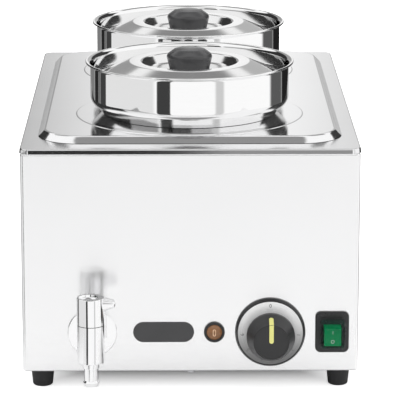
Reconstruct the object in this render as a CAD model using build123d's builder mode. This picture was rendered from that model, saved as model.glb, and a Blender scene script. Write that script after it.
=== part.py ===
from build123d import *
import math
import os

os.makedirs("parts", exist_ok=True)

# Countertop wet-well bain marie with two lidded pots. Millimetres, +Z up, front towards -Y.
# The origin is on the table, under the middle of the overall width and depth.

# Fits
seat_gap = 0.3          # between faces that rest on each other on different bodies
run_gap = 0.05          # radial, shaft in its bore
slip_gap = 0.25         # radial, a piece pushed through a hole

# Casing, base and deck
sheet = 1.0
case_w = 338.0
case_d = 538.0
case_h = 223.4
case_corner_r = 3.5
case_bend_r = 2.0
case_flange = 14.0
mitre_in = 28.0         # how far the corner joints run in from each side
flange_screw_y = 160.0  # side screws in front of and behind the middle
deck_over = 1.0         # deck edge past the casing, each side
deck_edge_h = 5.0
deck_edge_lean = 6.0    # degrees, the edge stands out a little at its foot
deck_corner_r = 10.0
deck_bend_r = 1.6
base_inset = 1.0
base_slots = 9
base_slot_l = 60.0
base_slot_w = 4.0
base_slot_pitch = 14.0

# Feet
foot_h = 19.0
foot_r = 12.0
foot_tip_r = 10.0
foot_inset = 19.0
foot_recess_r = 6.0
foot_recess_h = 9.0
foot_tip_round = 2.2

# Well
well_side_in = 24.0     # wall of the well from the side of the casing
well_end_in = 32.0
well_depth = 148.4
well_corner_r = 45.0
well_floor_r = 20.0
well_mouth_r = 4.6
neck_l = 6.0            # the deck turns down this far, and the well is welded under it

# Pot plate
plate_side_in = 16.0    # foot of the plate from the edge of the deck
plate_end_in = 25.0
plate_h = 7.0
plate_slope_run = 7.0
plate_corner_r = 45.0
plate_bend_r = 4.0
step_end_in = 4.9       # raised round from the end of its half of the plate
step_run = 4.6
step_h = 1.8
pot_spread = 1.0        # pots further apart than the middles of the plate's halves
hole_r = 90.0

# Pots
pot_wall = 0.8
pot_body_r = 88.3
pot_wall_r = 103.0
pot_rim_r = 108.0
pot_rise = 54.4         # rim above the top of the plate
pot_drop = 115.0        # pot bottom below the top of the plate
pot_floor_r = 14.0
pot_shoulder_r = 11.0
pot_flare_r = 4.4

# Lids and their knobs
lid_wall = 0.8
lid_gap = 2.2           # radial, lid skirt in the pot
lid_edge_drop = 16.8    # lid edge below the rim of the pot
lid_crown_r = 63.0
lid_crown_drop = 1.2
lid_bowl_r = 50.0
lid_bowl_run = 6.0
lid_bowl_depth = 9.6
lid_bend_r = 3.0
lid_knob_r = 23.6
lid_knob_neck_r = 21.6
lid_knob_h = 24.0
lid_knob_edge_h = 14.0
lid_knob_side_h = 2.6
lid_knob_round_r = 1.6
screw_r = 2.5
lid_screw_l = 14.0
foot_screw_l = 19.0
screw_head_h = 2.0
foot_nut_h = 4.0

# Row of controls on the front
control_z = 60.0
tap_side_in = 70.3      # from the left side of the casing
switch_side_in = 26.5   # from the right side
dial_side_in = 88.8
pilot_from_dial = 56.2

# Drain tap
tap_reach = 45.0        # tap axis in front of the panel
tap_r = 13.65
tap_edge = 0.5
tap_bottom_z = 42.8
tap_split_z = 81.0
tap_top_z = 109.0
tap_chamber_r = 9.0
tap_tail_r = 10.4
tap_tail_in = 30.0      # tail behind the panel
tap_nut_r = 15.6
tap_port_r = 4.0
hose_spigot_r = 7.8
hose_spigot_l = 16.0
waterway_r = 5.0
tap_stem_r = 6.0
tap_stem_l = 26.0
lever_reach = 25.0
lever_w = 15.0
lever_tip_drop = 7.5
lever_tip_h = 5.0
lever_root_z = 90.5
lever_tip_lean = 1.0
lever_root_in = 1.0
dish_r = 9.6
dish_depth = 3.0
dish_offset = 2.4
dish_slope = 10.0       # degrees
spout_r = 7.0
spout_collar_r = 8.4
spout_collar_h = 5.8
spout_end_z = 18.0
barb_r = 8.2
barb_h = 6.0
barb_land = 4.2
escutcheon_r = 25.0
escutcheon_h = 2.4

# Drain run inside
drain_set_back = 47.0   # tank drain behind the front wall of the well
stub_l = 14.0
hose_wall = 3.0
hose_bend_r = 21.0
clip_w = 9.0
clip_t = 1.0

# Heater under the well
heater_w = 220.0
heater_d = 300.0
heater_t = 3.0
element_r = 4.25
element_legs = 4
element_pitch = 50.0
element_turn_y = 120.0
element_tail = 55.0
element_pin_r = 1.5
element_pin_l = 14.0
stud_r = 2.5
stud_x = 96.0
stud_l = 19.0
clamp_y = 80.0
clamp_w = 18.0
clamp_t = 1.5
clamp_gap = 0.1
cutout_r = 12.0
cutout_h = 9.0

# Thermostat and dial
thermo_w = 40.0
thermo_h = 34.0
thermo_d = 28.0
thermo_screw_pitch = 28.0
thermo_screw_r = 2.0
thermo_screw_l = 7.0
thermo_head_r = 3.75
bush_r = 5.0
shaft_r = 3.0
shaft_out = 27.0
shaft_flat_at = 2.4      # flat of the shaft from its axis
bulb_r = 3.2
bulb_l = 85.0
capillary_r = 0.9
bezel_r = 35.4
bezel_front_r = 33.8
bezel_h = 5.4
bezel_side_h = 2.2
bezel_wall = 2.0
bezel_lean = 0.6
ring_r = 32.7
ring_in_r = 15.0
ring_t = 0.8
ring_set_back = 0.3
knob_foot_r = 20.6
knob_r = 24.3
knob_cap_r = 18.2
knob_start = 5.9        # back of the knob in front of the panel
knob_wide_at = 16.0
knob_wide_l = 4.6
knob_out = 38.6
knob_round_r = 2.0
knob_cap_round_r = 1.2
pointer_w = 4.4
pointer_t = 1.2
pointer_proud = 0.4

# Pilot lamp
pilot_r = 10.5
pilot_rim = 2.6
lens_r = 7.8
lens_out = 4.4
pilot_body_r = 8.0
pilot_body_l = 27.0
pilot_nut_r = 11.6
blade_w = 4.0
blade_t = 0.8
blade_l = 8.0

# Rocker switch with its clear hood
frame_w = 34.0
frame_h = 42.4
frame_t = 3.0
frame_corner_r = 5.5
rocker_w = 17.0
rocker_h = 18.6
rocker_out = 15.0
rocker_pivot_in = 3.0
rocker_swing = 12.0
rocker_pin_r = 1.5
rocker_side_gap = 0.6
opening_gap_w = 1.5
opening_gap_h = 1.8
rocker_hollow = 1.0     # how far the face dips between its two ends
hood_w = 25.0
hood_h = 27.0
hood_out = 18.2
hood_t = 1.2
hood_corner_r = 3.5
switch_body_w = 24.0
switch_body_h = 30.0
switch_body_d = 26.0

# Supply side
gland_side_in = 57.0
gland_z = 58.0
gland_bore_r = 5.0
gland_thread_r = 8.0
gland_hex_r = 12.0
gland_hex_l = 8.0
gland_dome_l = 15.0
gland_in = 9.0
block_w = 46.0
block_d = 20.0
block_h = 18.0
block_poles = 3

# Widths, heights and depths that follow
deck_w = case_w + 2 * deck_over
deck_d = case_d + 2 * deck_over
well_w = case_w - 2 * well_side_in
well_d = case_d - 2 * well_end_in
plate_w = deck_w - 2 * plate_side_in
plate_d = deck_d - 2 * plate_end_in
pot_pitch = plate_d / 2 + pot_spread
step_r = plate_d / 4 - step_end_in
step_in = sheet * (math.hypot(step_run, step_h) - step_run) / step_h
tap_x = tap_side_in - case_w / 2
switch_x = case_w / 2 - switch_side_in
dial_x = case_w / 2 - dial_side_in
pilot_x = dial_x - pilot_from_dial
gland_x = case_w / 2 - gland_side_in
case_z = foot_h + sheet
case_top_z = case_z + case_h
deck_z = case_top_z + deck_edge_h
well_z = deck_z - well_depth
tank_under_z = well_z - sheet
plate_z = deck_z + plate_h
seat_z = plate_z + step_h
rim_z = seat_z + pot_rise
pot_z = seat_z - pot_drop
gland_out = gland_hex_l + gland_dome_l
front_reach = case_d / 2 + tap_reach + tap_r
rear_reach = case_d / 2 + gland_out
deck_y = (front_reach - rear_reach) / 2
front_y = deck_y - case_d / 2
rear_y = deck_y + case_d / 2
inner_y = front_y + sheet
tap_y = front_y - tap_reach
centre = (0, deck_y)
foot_x = case_w / 2 - foot_inset
foot_y = case_d / 2 - foot_inset
flange_x = case_w / 2 - case_flange / 2
flange_y = case_d / 2 - case_flange / 2
flange_screw_at = [(0, deck_y - flange_y), (0, deck_y + flange_y)]
flange_screw_at += [(sx * flange_x, deck_y + sy * flange_screw_y) for sx in (-1, 1) for sy in (-1, 0, 1)]


def save(builder, name):
    builder.part.label = name
    export_step(builder.part, f"parts/{name}.step")


def from_front(x, z, out=0.0):
    """Plane facing the front, with its X to the right and its Y up, out in front of the panel."""
    return Plane(origin=(x, front_y - out, z), x_dir=(1, 0, 0), z_dir=(0, -1, 0))


def corners(half_x, half_y):
    """Four points around the middle of the casing."""
    return [(sx * half_x, deck_y + sy * half_y) for sx in (-1, 1) for sy in (-1, 1)]


def block(w, d, z, h, corner_r, top_r=0.0, bottom_r=0.0, lean=0.0):
    """Upright box with round corners around the middle of the casing, from z up to z + h."""
    with BuildPart() as solid:
        with BuildSketch(Plane.XY.offset(z)):
            with Locations(centre):
                RectangleRounded(w, d, corner_r)
        extrude(amount=h, taper=lean)
        if top_r:
            fillet(solid.faces().sort_by(Axis.Z)[-1].edges(), top_r)
        if bottom_r:
            fillet(solid.faces().sort_by(Axis.Z)[0].edges(), bottom_r)
    return solid.part


# Casing: folded sheet with a flange turned in at the top and at the bottom, in four mitred panels
case_outside = block(case_w, case_d, case_z, case_h, case_corner_r, case_bend_r)
case_inside = block(
    case_w - 2 * sheet, case_d - 2 * sheet, case_z + sheet, case_h - 2 * sheet,
    case_corner_r - sheet, case_bend_r - sheet,
)
with BuildPart() as case_shell:
    add(case_outside)
    add(case_inside, mode=Mode.SUBTRACT)
    with BuildSketch(Plane.XY.offset(case_z - sheet)):
        with Locations(centre):
            Rectangle(case_w - 2 * case_flange, case_d - 2 * case_flange)
        with Locations(*flange_screw_at):
            Circle(screw_r)
    extrude(amount=case_h + 2 * sheet, mode=Mode.SUBTRACT)
    with BuildSketch(from_front(0, control_z, sheet)):
        with Locations((tap_x, 0)):
            Circle(tap_tail_r + slip_gap)
        with Locations((pilot_x, 0)):
            Circle(pilot_body_r + slip_gap)
        with Locations((dial_x, 0)):
            Circle(bush_r + slip_gap)
        with Locations((dial_x - thermo_screw_pitch / 2, 0), (dial_x + thermo_screw_pitch / 2, 0)):
            Circle(thermo_screw_r + slip_gap)
        with Locations((switch_x, 0)):
            Rectangle(switch_body_w + 2 * slip_gap, switch_body_h + 2 * slip_gap)
    extrude(amount=-3 * sheet, mode=Mode.SUBTRACT)
    with BuildSketch(Plane(origin=(gland_x, rear_y + sheet, gland_z), z_dir=(0, 1, 0))):
        Circle(gland_thread_r + slip_gap)
    extrude(amount=-3 * sheet, mode=Mode.SUBTRACT)

outer_x = case_w / 2 + sheet
outer_y = case_d / 2 + sheet
mitre_x = case_w / 2 - mitre_in
mitre_y = case_d / 2 - mitre_in
panel_plans = {
    "front_panel": [(-outer_x, -outer_y), (outer_x, -outer_y), (mitre_x, -mitre_y), (-mitre_x, -mitre_y)],
    "right_panel": [(outer_x, -outer_y), (outer_x, outer_y), (mitre_x, mitre_y), (mitre_x, -mitre_y)],
    "rear_panel": [(outer_x, outer_y), (-outer_x, outer_y), (-mitre_x, mitre_y), (mitre_x, mitre_y)],
    "left_panel": [(-outer_x, outer_y), (-outer_x, -outer_y), (-mitre_x, -mitre_y), (-mitre_x, mitre_y)],
}
for panel_name, plan in panel_plans.items():
    with BuildPart() as panel:
        add(case_shell.part)
        with BuildSketch(Plane.XY.offset(case_z - sheet)):
            with Locations(centre):
                Polygon(*plan, align=None)
        extrude(amount=case_h + 2 * sheet, mode=Mode.INTERSECT)
    save(panel, panel_name)


# Base plate with vent slots, screwed up into the bottom flange of the casing
with BuildPart() as base_plate:
    with BuildSketch(Plane.XY.offset(foot_h)):
        with Locations(centre):
            RectangleRounded(case_w - 2 * base_inset, case_d - 2 * base_inset, case_corner_r)
            for side in (-1, 1):
                with Locations((0, side * case_d / 4)):
                    with GridLocations(0, base_slot_pitch, 1, base_slots):
                        SlotOverall(base_slot_l, base_slot_w, mode=Mode.SUBTRACT)
        with Locations(*corners(foot_x, foot_y)):
            Circle(screw_r + slip_gap, mode=Mode.SUBTRACT)
        with Locations(*flange_screw_at):
            Circle(screw_r, mode=Mode.SUBTRACT)
    extrude(amount=sheet)
save(base_plate, "base_plate")

with BuildPart() as base_screws:
    with BuildSketch(Plane.XY.offset(foot_h)):
        with Locations(*flange_screw_at):
            Circle(2 * screw_r)
    extrude(amount=-screw_head_h)
    with BuildSketch(Plane.XY.offset(foot_h)):
        with Locations(*flange_screw_at):
            Circle(screw_r - slip_gap)
    extrude(amount=2 * sheet + 4 * screw_r)
save(base_screws, "base_screws")

# Deck with its edge folded down and under, and the drawn well welded below its neck
drain_y = deck_y - well_d / 2 + drain_set_back
deck_outside = block(
    deck_w, deck_d, case_top_z, deck_edge_h, deck_corner_r, deck_bend_r, lean=deck_edge_lean,
)
deck_inside = block(
    deck_w - 2 * sheet, deck_d - 2 * sheet, case_top_z + sheet, deck_edge_h - 2 * sheet,
    deck_corner_r - sheet, deck_bend_r - sheet, lean=deck_edge_lean,
)
well_outside = block(
    well_w + 2 * sheet, well_d + 2 * sheet, well_z - sheet, well_depth, well_corner_r + sheet,
    bottom_r=well_floor_r + sheet,
)
well_inside = block(well_w, well_d, well_z, well_depth, well_corner_r, bottom_r=well_floor_r)
with BuildPart() as deck_and_well:
    add(deck_outside)
    add(deck_inside, mode=Mode.SUBTRACT)
    with BuildSketch(Plane.XY.offset(case_top_z)):
        with Locations(centre):
            Rectangle(case_w - 2 * case_flange, case_d - 2 * case_flange)
        with Locations(*flange_screw_at):
            Circle(screw_r)
    extrude(amount=sheet, mode=Mode.SUBTRACT)
    add(well_outside)
    deck_under = deck_and_well.faces().filter_by(Axis.Z).filter_by_position(Axis.Z, case_top_z + sheet, deck_z - sheet / 2)
    fillet(deck_under.sort_by(Axis.Z)[-1].inner_wires()[0].edges(), well_mouth_r - sheet)
    add(well_inside, mode=Mode.SUBTRACT)
    fillet(deck_and_well.faces().filter_by(Axis.Z).sort_by(Axis.Z)[-1].inner_wires()[0].edges(), well_mouth_r)
    with BuildSketch(Plane.XY.offset(well_z)):
        with Locations((tap_x, drain_y)):
            Circle(waterway_r)
    extrude(amount=-sheet, mode=Mode.SUBTRACT)

with BuildPart() as deck:
    add(deck_and_well.part)
    split(bisect_by=Plane.XY.offset(deck_z - neck_l), keep=Keep.TOP)
save(deck, "deck")

with BuildPart() as well:
    add(deck_and_well.part)
    split(bisect_by=Plane.XY.offset(deck_z - neck_l), keep=Keep.BOTTOM)
save(well, "well")

# Welded under the well: the drain stub and four studs for the heater
with BuildPart() as drain_stub:
    with BuildSketch(Plane.XY.offset(tank_under_z)):
        with Locations((tap_x, drain_y)):
            Circle(hose_spigot_r)
            Circle(waterway_r, mode=Mode.SUBTRACT)
    extrude(amount=-stub_l)
save(drain_stub, "drain_stub")

with BuildPart() as heater_studs:
    with BuildSketch(Plane.XY.offset(tank_under_z)):
        with Locations(*corners(stud_x, clamp_y)):
            Circle(stud_r)
    extrude(amount=-stud_l)
save(heater_studs, "heater_studs")

with BuildPart() as deck_screws:
    with BuildSketch(Plane.XY.offset(case_top_z - sheet)):
        with Locations(*flange_screw_at):
            Circle(2 * screw_r)
    extrude(amount=-screw_r)
    with BuildSketch(Plane.XY.offset(case_top_z - sheet)):
        with Locations(*flange_screw_at):
            Circle(screw_r - slip_gap)
    extrude(amount=deck_edge_h - sheet)
save(deck_screws, "deck_screws")

# Rubber feet and their screws
with BuildPart() as feet:
    with BuildSketch(Plane.XY):
        with Locations(*corners(foot_x, foot_y)):
            Circle(foot_tip_r)
    extrude(amount=foot_h, taper=-math.degrees(math.atan2(foot_r - foot_tip_r, foot_h)))
    with BuildSketch(Plane.XY):
        with Locations(*corners(foot_x, foot_y)):
            Circle(foot_recess_r)
    extrude(amount=foot_recess_h, mode=Mode.SUBTRACT)
    tip_edges = feet.edges().group_by(Axis.Z)[0].filter_by(lambda edge: edge.radius > foot_recess_r + slip_gap)
    fillet(tip_edges, foot_tip_round)
    with BuildSketch(Plane.XY):
        with Locations(*corners(foot_x, foot_y)):
            Circle(screw_r + slip_gap)
    extrude(amount=foot_h, mode=Mode.SUBTRACT)
save(feet, "feet")

with BuildPart() as foot_screws:
    with BuildSketch(Plane.XY.offset(foot_recess_h)):
        with Locations(*corners(foot_x, foot_y)):
            Circle(2 * screw_r)
    extrude(amount=-screw_r)
    with BuildSketch(Plane.XY.offset(foot_recess_h)):
        with Locations(*corners(foot_x, foot_y)):
            Circle(screw_r)
    extrude(amount=foot_screw_l)
save(foot_screws, "foot_screws")

with BuildPart() as foot_nuts:
    with BuildSketch(Plane.XY.offset(case_z)):
        with Locations(*corners(foot_x, foot_y)):
            RegularPolygon(2 * screw_r, 6)
            Circle(screw_r + run_gap, mode=Mode.SUBTRACT)
    extrude(amount=foot_nut_h)
save(foot_nuts, "foot_nuts")

# Pot plate: pressed sheet with sloping sides and a raised round about each hole
slope = math.degrees(math.atan2(plate_slope_run, plate_h))
step_slope = math.degrees(math.atan2(step_run, step_h))
pot_at = [(0, deck_y - pot_pitch / 2), (0, deck_y + pot_pitch / 2)]


def pressing(inset, drop, inset_round, bend_r):
    """Skin of the pot plate, moved in by one sheet for its inner side."""
    with BuildPart() as skin:
        with BuildSketch(Plane.XY.offset(deck_z + seat_gap)):
            with Locations(centre):
                RectangleRounded(plate_w - 2 * inset, plate_d - 2 * inset, plate_corner_r - inset)
        extrude(amount=plate_h - seat_gap - drop, taper=slope)
        fillet(skin.faces().sort_by(Axis.Z)[-1].edges(), bend_r)
        with BuildSketch(Plane.XY.offset(plate_z - drop)):
            with Locations(*pot_at):
                Circle(step_r - inset_round)
        extrude(amount=step_h, taper=step_slope)
    return skin.part


plate_outside = pressing(0, 0, 0, plate_bend_r)
plate_inside = pressing(sheet * math.sqrt(2), sheet, step_in, plate_bend_r - sheet)
with BuildPart() as pot_plate:
    add(plate_outside)
    add(plate_inside, mode=Mode.SUBTRACT)
    with BuildSketch(Plane.XY.offset(seat_z)):
        with Locations(*pot_at):
            Circle(hole_r)
    extrude(amount=-plate_h - step_h, mode=Mode.SUBTRACT)
save(pot_plate, "pot_plate")


def turned(points, radii, wall, y):
    """Pot-like shell: an outline of radius and height, thickened inwards and turned about Z at y."""
    with BuildPart() as shell:
        with BuildSketch(Plane.XZ.offset(-y)):
            with BuildLine():
                FilletPolyline(*points, radius=radii)
                offset(amount=wall, side=Side.LEFT)
            make_face()
        revolve(axis=Axis((0, y, 0), (0, 0, 1)))
    return shell.part


# Pots: a narrow body hangs through the plate, the shoulder rests on the edge of the hole
shoulder_r = hole_r - seat_gap * math.sqrt(2)
body_top_z = seat_z - (shoulder_r - pot_body_r)
wall_foot_z = seat_z + pot_wall_r - shoulder_r
pot_outline = [
    (0, pot_z), (pot_body_r, pot_z), (pot_body_r, body_top_z), (pot_wall_r, wall_foot_z),
    (pot_wall_r, rim_z - pot_wall), (pot_rim_r, rim_z - pot_wall),
]
pot_bends = [pot_floor_r, pot_wall, pot_shoulder_r, pot_flare_r]

# Lids: a skirt stands on the inner shoulder, a cone rises to the crown, a bowl holds the knob
skirt_r = pot_wall_r - pot_wall - lid_gap
skirt_z = wall_foot_z - (pot_wall_r - skirt_r) + (pot_wall + seat_gap) * math.sqrt(2)
edge_z = rim_z - lid_edge_drop
crown_z = rim_z - lid_crown_drop
bowl_z = crown_z - lid_bowl_depth
lid_outline = [
    (skirt_r, skirt_z), (skirt_r, edge_z), (lid_crown_r, crown_z), (lid_bowl_r, crown_z),
    (lid_bowl_r - lid_bowl_run, bowl_z), (0, bowl_z),
]
lid_bends = [lid_bend_r, 2 * lid_bend_r, lid_bend_r, lid_bend_r]
knob_outline = [
    (0, bowl_z), (lid_knob_neck_r, bowl_z),
    (lid_knob_neck_r, bowl_z + lid_knob_edge_h - lid_knob_round_r),
    (lid_knob_r, bowl_z + lid_knob_edge_h), (lid_knob_r, bowl_z + lid_knob_edge_h + lid_knob_side_h),
    (lid_knob_r - 2 * lid_knob_round_r, bowl_z + lid_knob_edge_h + lid_knob_side_h + lid_knob_round_r),
]
knob_bends = [lid_knob_round_r, lid_knob_round_r / 2, lid_knob_round_r / 2, lid_knob_round_r]

for place, (pot_x, pot_y) in zip(("front", "rear"), pot_at):
    pot_shell = turned(pot_outline, pot_bends, pot_wall, pot_y)
    with BuildPart() as pot:
        add(pot_shell)
    save(pot, f"{place}_pot")

    lid_shell = turned(lid_outline, lid_bends, -lid_wall, pot_y)
    with BuildPart() as lid:
        add(lid_shell)
        with BuildSketch(Plane.XY.offset(bowl_z)):
            with Locations((0, pot_y)):
                Circle(screw_r + slip_gap)
        extrude(amount=-lid_wall, mode=Mode.SUBTRACT)
    save(lid, f"{place}_lid")

    with BuildPart() as lid_knob:
        with BuildSketch(Plane.XZ.offset(-pot_y)):
            with BuildLine():
                side = FilletPolyline(*knob_outline, radius=knob_bends)
                dome = TangentArc((0, bowl_z + lid_knob_h), side @ 1, tangent=(1, 0))
                Line(side @ 0, dome @ 0)
            make_face()
        revolve(axis=Axis((0, pot_y, 0), (0, 0, 1)))
        with BuildSketch(Plane.XY.offset(bowl_z)):
            with Locations((0, pot_y)):
                Circle(screw_r)
        extrude(amount=lid_screw_l, mode=Mode.SUBTRACT)
    save(lid_knob, f"{place}_lid_knob")

    with BuildPart() as lid_screw:
        with BuildSketch(Plane.XY.offset(bowl_z - lid_wall)):
            with Locations((0, pot_y)):
                Circle(2 * screw_r)
        extrude(amount=-screw_r)
        with BuildSketch(Plane.XY.offset(bowl_z - lid_wall)):
            with Locations((0, pot_y)):
                Circle(screw_r)
        extrude(amount=lid_screw_l)
    save(lid_screw, f"{place}_lid_screw")


def front_profile(x):
    """Plane for outlines turned about the line out of the panel at x: radius, distance out."""
    return Plane(origin=(x, front_y, control_z), x_dir=(1, 0, 0), z_dir=(0, 0, -1))


def front_axis(x):
    return Axis((x, front_y, control_z), (0, -1, 0))


# Drain tap: upright chrome body on a threaded tail, with a turning head and lever
with BuildPart() as tap_escutcheon:
    with BuildSketch(from_front(tap_x, control_z)):
        Circle(escutcheon_r)
        Circle(tap_tail_r + slip_gap, mode=Mode.SUBTRACT)
    extrude(amount=escutcheon_h)
    fillet(tap_escutcheon.edges().group_by(Axis.Y)[0].sort_by(SortBy.LENGTH)[-1], escutcheon_h / 2)
save(tap_escutcheon, "tap_escutcheon")

with BuildPart() as tap_body:
    with BuildSketch(Plane.XY.offset(tap_bottom_z)):
        with Locations((tap_x, tap_y)):
            Circle(tap_r)
    extrude(amount=tap_split_z - tap_bottom_z)
    chamfer(tap_body.edges().group_by(Axis.Z)[0], tap_edge)
    with BuildSketch(from_front(tap_x, control_z)):
        Circle(tap_tail_r)
    extrude(amount=tap_reach)
    extrude(to_extrude=tap_body.faces().sort_by(Axis.Y)[-1], amount=tap_tail_in - hose_spigot_l)
    with BuildSketch(from_front(tap_x, control_z, hose_spigot_l - tap_tail_in)):
        Circle(hose_spigot_r)
    extrude(amount=-hose_spigot_l)
    with BuildSketch(Plane.XY.offset(tap_split_z)):
        with Locations((tap_x, tap_y)):
            Circle(tap_chamber_r)
    extrude(amount=-tap_stem_l - run_gap, mode=Mode.SUBTRACT)
    with BuildSketch(Plane.XY.offset(tap_bottom_z)):
        with Locations((tap_x, tap_y)):
            Circle(spout_r + run_gap)
    extrude(amount=spout_collar_h, mode=Mode.SUBTRACT)
    with BuildSketch(Plane.XY.offset(tap_bottom_z)):
        with Locations((tap_x, tap_y)):
            Circle(waterway_r)
    extrude(amount=tap_reach / 2, mode=Mode.SUBTRACT)
    with BuildSketch(from_front(tap_x, control_z, -tap_tail_in)):
        Circle(waterway_r)
    extrude(amount=tap_reach + tap_tail_in, mode=Mode.SUBTRACT)
save(tap_body, "tap_body")

with BuildPart() as tap_cartridge:
    with BuildSketch(Plane.XY.offset(tap_split_z - tap_stem_l)):
        with Locations((tap_x, tap_y)):
            Circle(tap_chamber_r - run_gap)
            Circle(tap_stem_r + run_gap, mode=Mode.SUBTRACT)
    extrude(amount=tap_stem_l)
    with BuildSketch(from_front(tap_x, control_z, tap_reach)):
        Circle(tap_port_r)
    extrude(amount=-tap_chamber_r, mode=Mode.SUBTRACT)
save(tap_cartridge, "tap_cartridge")

with BuildPart() as tap_stem:
    with BuildSketch(Plane.XY.offset(tap_split_z - tap_stem_l)):
        with Locations((tap_x, tap_y)):
            Circle(tap_stem_r)
    extrude(amount=tap_stem_l + tap_stem_r)
    with BuildSketch(Plane.XY.offset(tap_split_z - tap_stem_l)):
        with Locations((tap_x, tap_y)):
            Circle(tap_port_r)
    extrude(amount=tap_stem_l / 2, mode=Mode.SUBTRACT)
    with BuildSketch(Plane(origin=(tap_x, tap_y, control_z), z_dir=(-1, 0, 0))):
        Circle(tap_port_r)
    extrude(amount=tap_stem_r, mode=Mode.SUBTRACT)
save(tap_stem, "tap_stem")

with BuildPart() as tap_head:
    with BuildSketch(Plane.XY.offset(tap_split_z + seat_gap)):
        with Locations((tap_x, tap_y)):
            Circle(tap_r)
    extrude(amount=tap_top_z - tap_split_z - seat_gap)
    with BuildSketch(Plane.XZ.offset(-tap_y)):
        with BuildLine():
            top = Line((tap_x, tap_top_z), (tap_x + tap_r / 2, tap_top_z))
            over = TangentArc(top @ 1, (tap_x + lever_reach, tap_top_z - lever_tip_drop), tangent=(1, 0))
            tip = Line(over @ 1, over @ 1 - (lever_tip_lean, lever_tip_h))
            under = ThreePointArc(
                tip @ 1, (tap_x + (tap_r + lever_reach) / 2, lever_root_z + lever_tip_h / 2),
                (tap_x + tap_r - lever_root_in, lever_root_z),
            )
            Polyline(under @ 1, (tap_x, lever_root_z), top @ 0)
        make_face()
    extrude(amount=lever_w / 2, both=True)
    tip_edges = tap_head.edges().filter_by(Axis.Y).sort_by(Axis.X)[-2:]
    fillet(tip_edges, lever_tip_h / 4)
    with BuildSketch(Plane.XY.offset(tap_top_z)):
        with Locations((tap_x - dish_offset, tap_y)):
            Circle(dish_r)
    extrude(amount=-dish_depth, taper=dish_slope, mode=Mode.SUBTRACT)
    with BuildSketch(Plane.XY.offset(tap_split_z)):
        with Locations((tap_x, tap_y)):
            Circle(tap_stem_r)
    extrude(amount=tap_stem_r, mode=Mode.SUBTRACT)
save(tap_head, "tap_head")

# Spout: a collar under the body and a barbed tail for a drain hose
collar_z = tap_bottom_z - spout_collar_h
spout_outline = [
    (spout_collar_r, tap_bottom_z), (spout_collar_r, collar_z), (spout_r, collar_z - 1),
    (spout_r, spout_end_z + barb_h), (barb_r, spout_end_z + barb_land), (spout_r, spout_end_z),
]
with BuildPart() as tap_spout:
    with BuildSketch(Plane.XZ.offset(-tap_y)):
        with BuildLine():
            side = Polyline(*[(tap_x + r, z) for r, z in spout_outline])
            Polyline(side @ 1, (tap_x, spout_end_z), (tap_x, tap_bottom_z), side @ 0)
        make_face()
    revolve(axis=Axis((tap_x, tap_y, 0), (0, 0, 1)))
    with BuildSketch(Plane.XY.offset(tap_bottom_z)):
        with Locations((tap_x, tap_y)):
            Circle(spout_r)
    extrude(amount=spout_collar_h - run_gap)
    with BuildSketch(Plane.XY.offset(spout_end_z)):
        with Locations((tap_x, tap_y)):
            Circle(waterway_r)
    extrude(amount=tap_bottom_z - spout_end_z + spout_collar_h, mode=Mode.SUBTRACT)
save(tap_spout, "tap_spout")

tail_nut_l = tap_tail_in - hose_spigot_l - 3 * sheet
with BuildPart() as tap_gasket:
    with BuildSketch(from_front(tap_x, control_z, -sheet)):
        Circle(tap_nut_r)
        Circle(tap_tail_r + slip_gap, mode=Mode.SUBTRACT)
    extrude(amount=-sheet)
save(tap_gasket, "tap_gasket")

with BuildPart() as tap_nut:
    with BuildSketch(from_front(tap_x, control_z, -2 * sheet)):
        RegularPolygon(tap_nut_r, 6)
        Circle(tap_tail_r + run_gap, mode=Mode.SUBTRACT)
    extrude(amount=-tail_nut_l)
save(tap_nut, "tap_nut")

# Hose from the drain of the well to the tail of the tap, with a clip at each end
hose_in_r = hose_spigot_r + run_gap
hose_out_r = hose_in_r + hose_wall
hose_top_z = tank_under_z - sheet
hose_end_y = front_y + tap_tail_in - hose_spigot_l + sheet
hose_top = (tap_x, drain_y, hose_top_z)
with BuildPart() as drain_hose:
    with BuildLine() as hose_line:
        FilletPolyline(hose_top, (tap_x, drain_y, control_z), (tap_x, hose_end_y, control_z), radius=hose_bend_r)
    with BuildSketch(Plane(origin=hose_top, z_dir=(0, 0, -1))):
        Circle(hose_out_r)
        Circle(hose_in_r, mode=Mode.SUBTRACT)
    sweep(path=hose_line.wires()[0])
save(drain_hose, "drain_hose")

with BuildPart() as hose_clips:
    with BuildSketch(Plane.XY.offset(hose_top_z - 2 * sheet)):
        with Locations((tap_x, drain_y)):
            Circle(hose_out_r + run_gap + clip_t)
            Circle(hose_out_r + run_gap, mode=Mode.SUBTRACT)
    extrude(amount=-clip_w)
    with BuildSketch(from_front(tap_x, control_z, front_y - hose_end_y - 2 * sheet)):
        Circle(hose_out_r + run_gap + clip_t)
        Circle(hose_out_r + run_gap, mode=Mode.SUBTRACT)
    extrude(amount=-clip_w)
save(hose_clips, "hose_clips")

# Heater: a spreader plate against the floor of the well, with a sheathed element bent to and fro
with BuildPart() as heater_plate:
    with BuildSketch(Plane.XY.offset(tank_under_z)):
        with Locations(centre):
            RectangleRounded(heater_w, heater_d, stud_r * 4)
        with Locations(*corners(stud_x, clamp_y)):
            Circle(stud_r + slip_gap, mode=Mode.SUBTRACT)
    extrude(amount=-heater_t)
save(heater_plate, "heater_plate")

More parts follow.
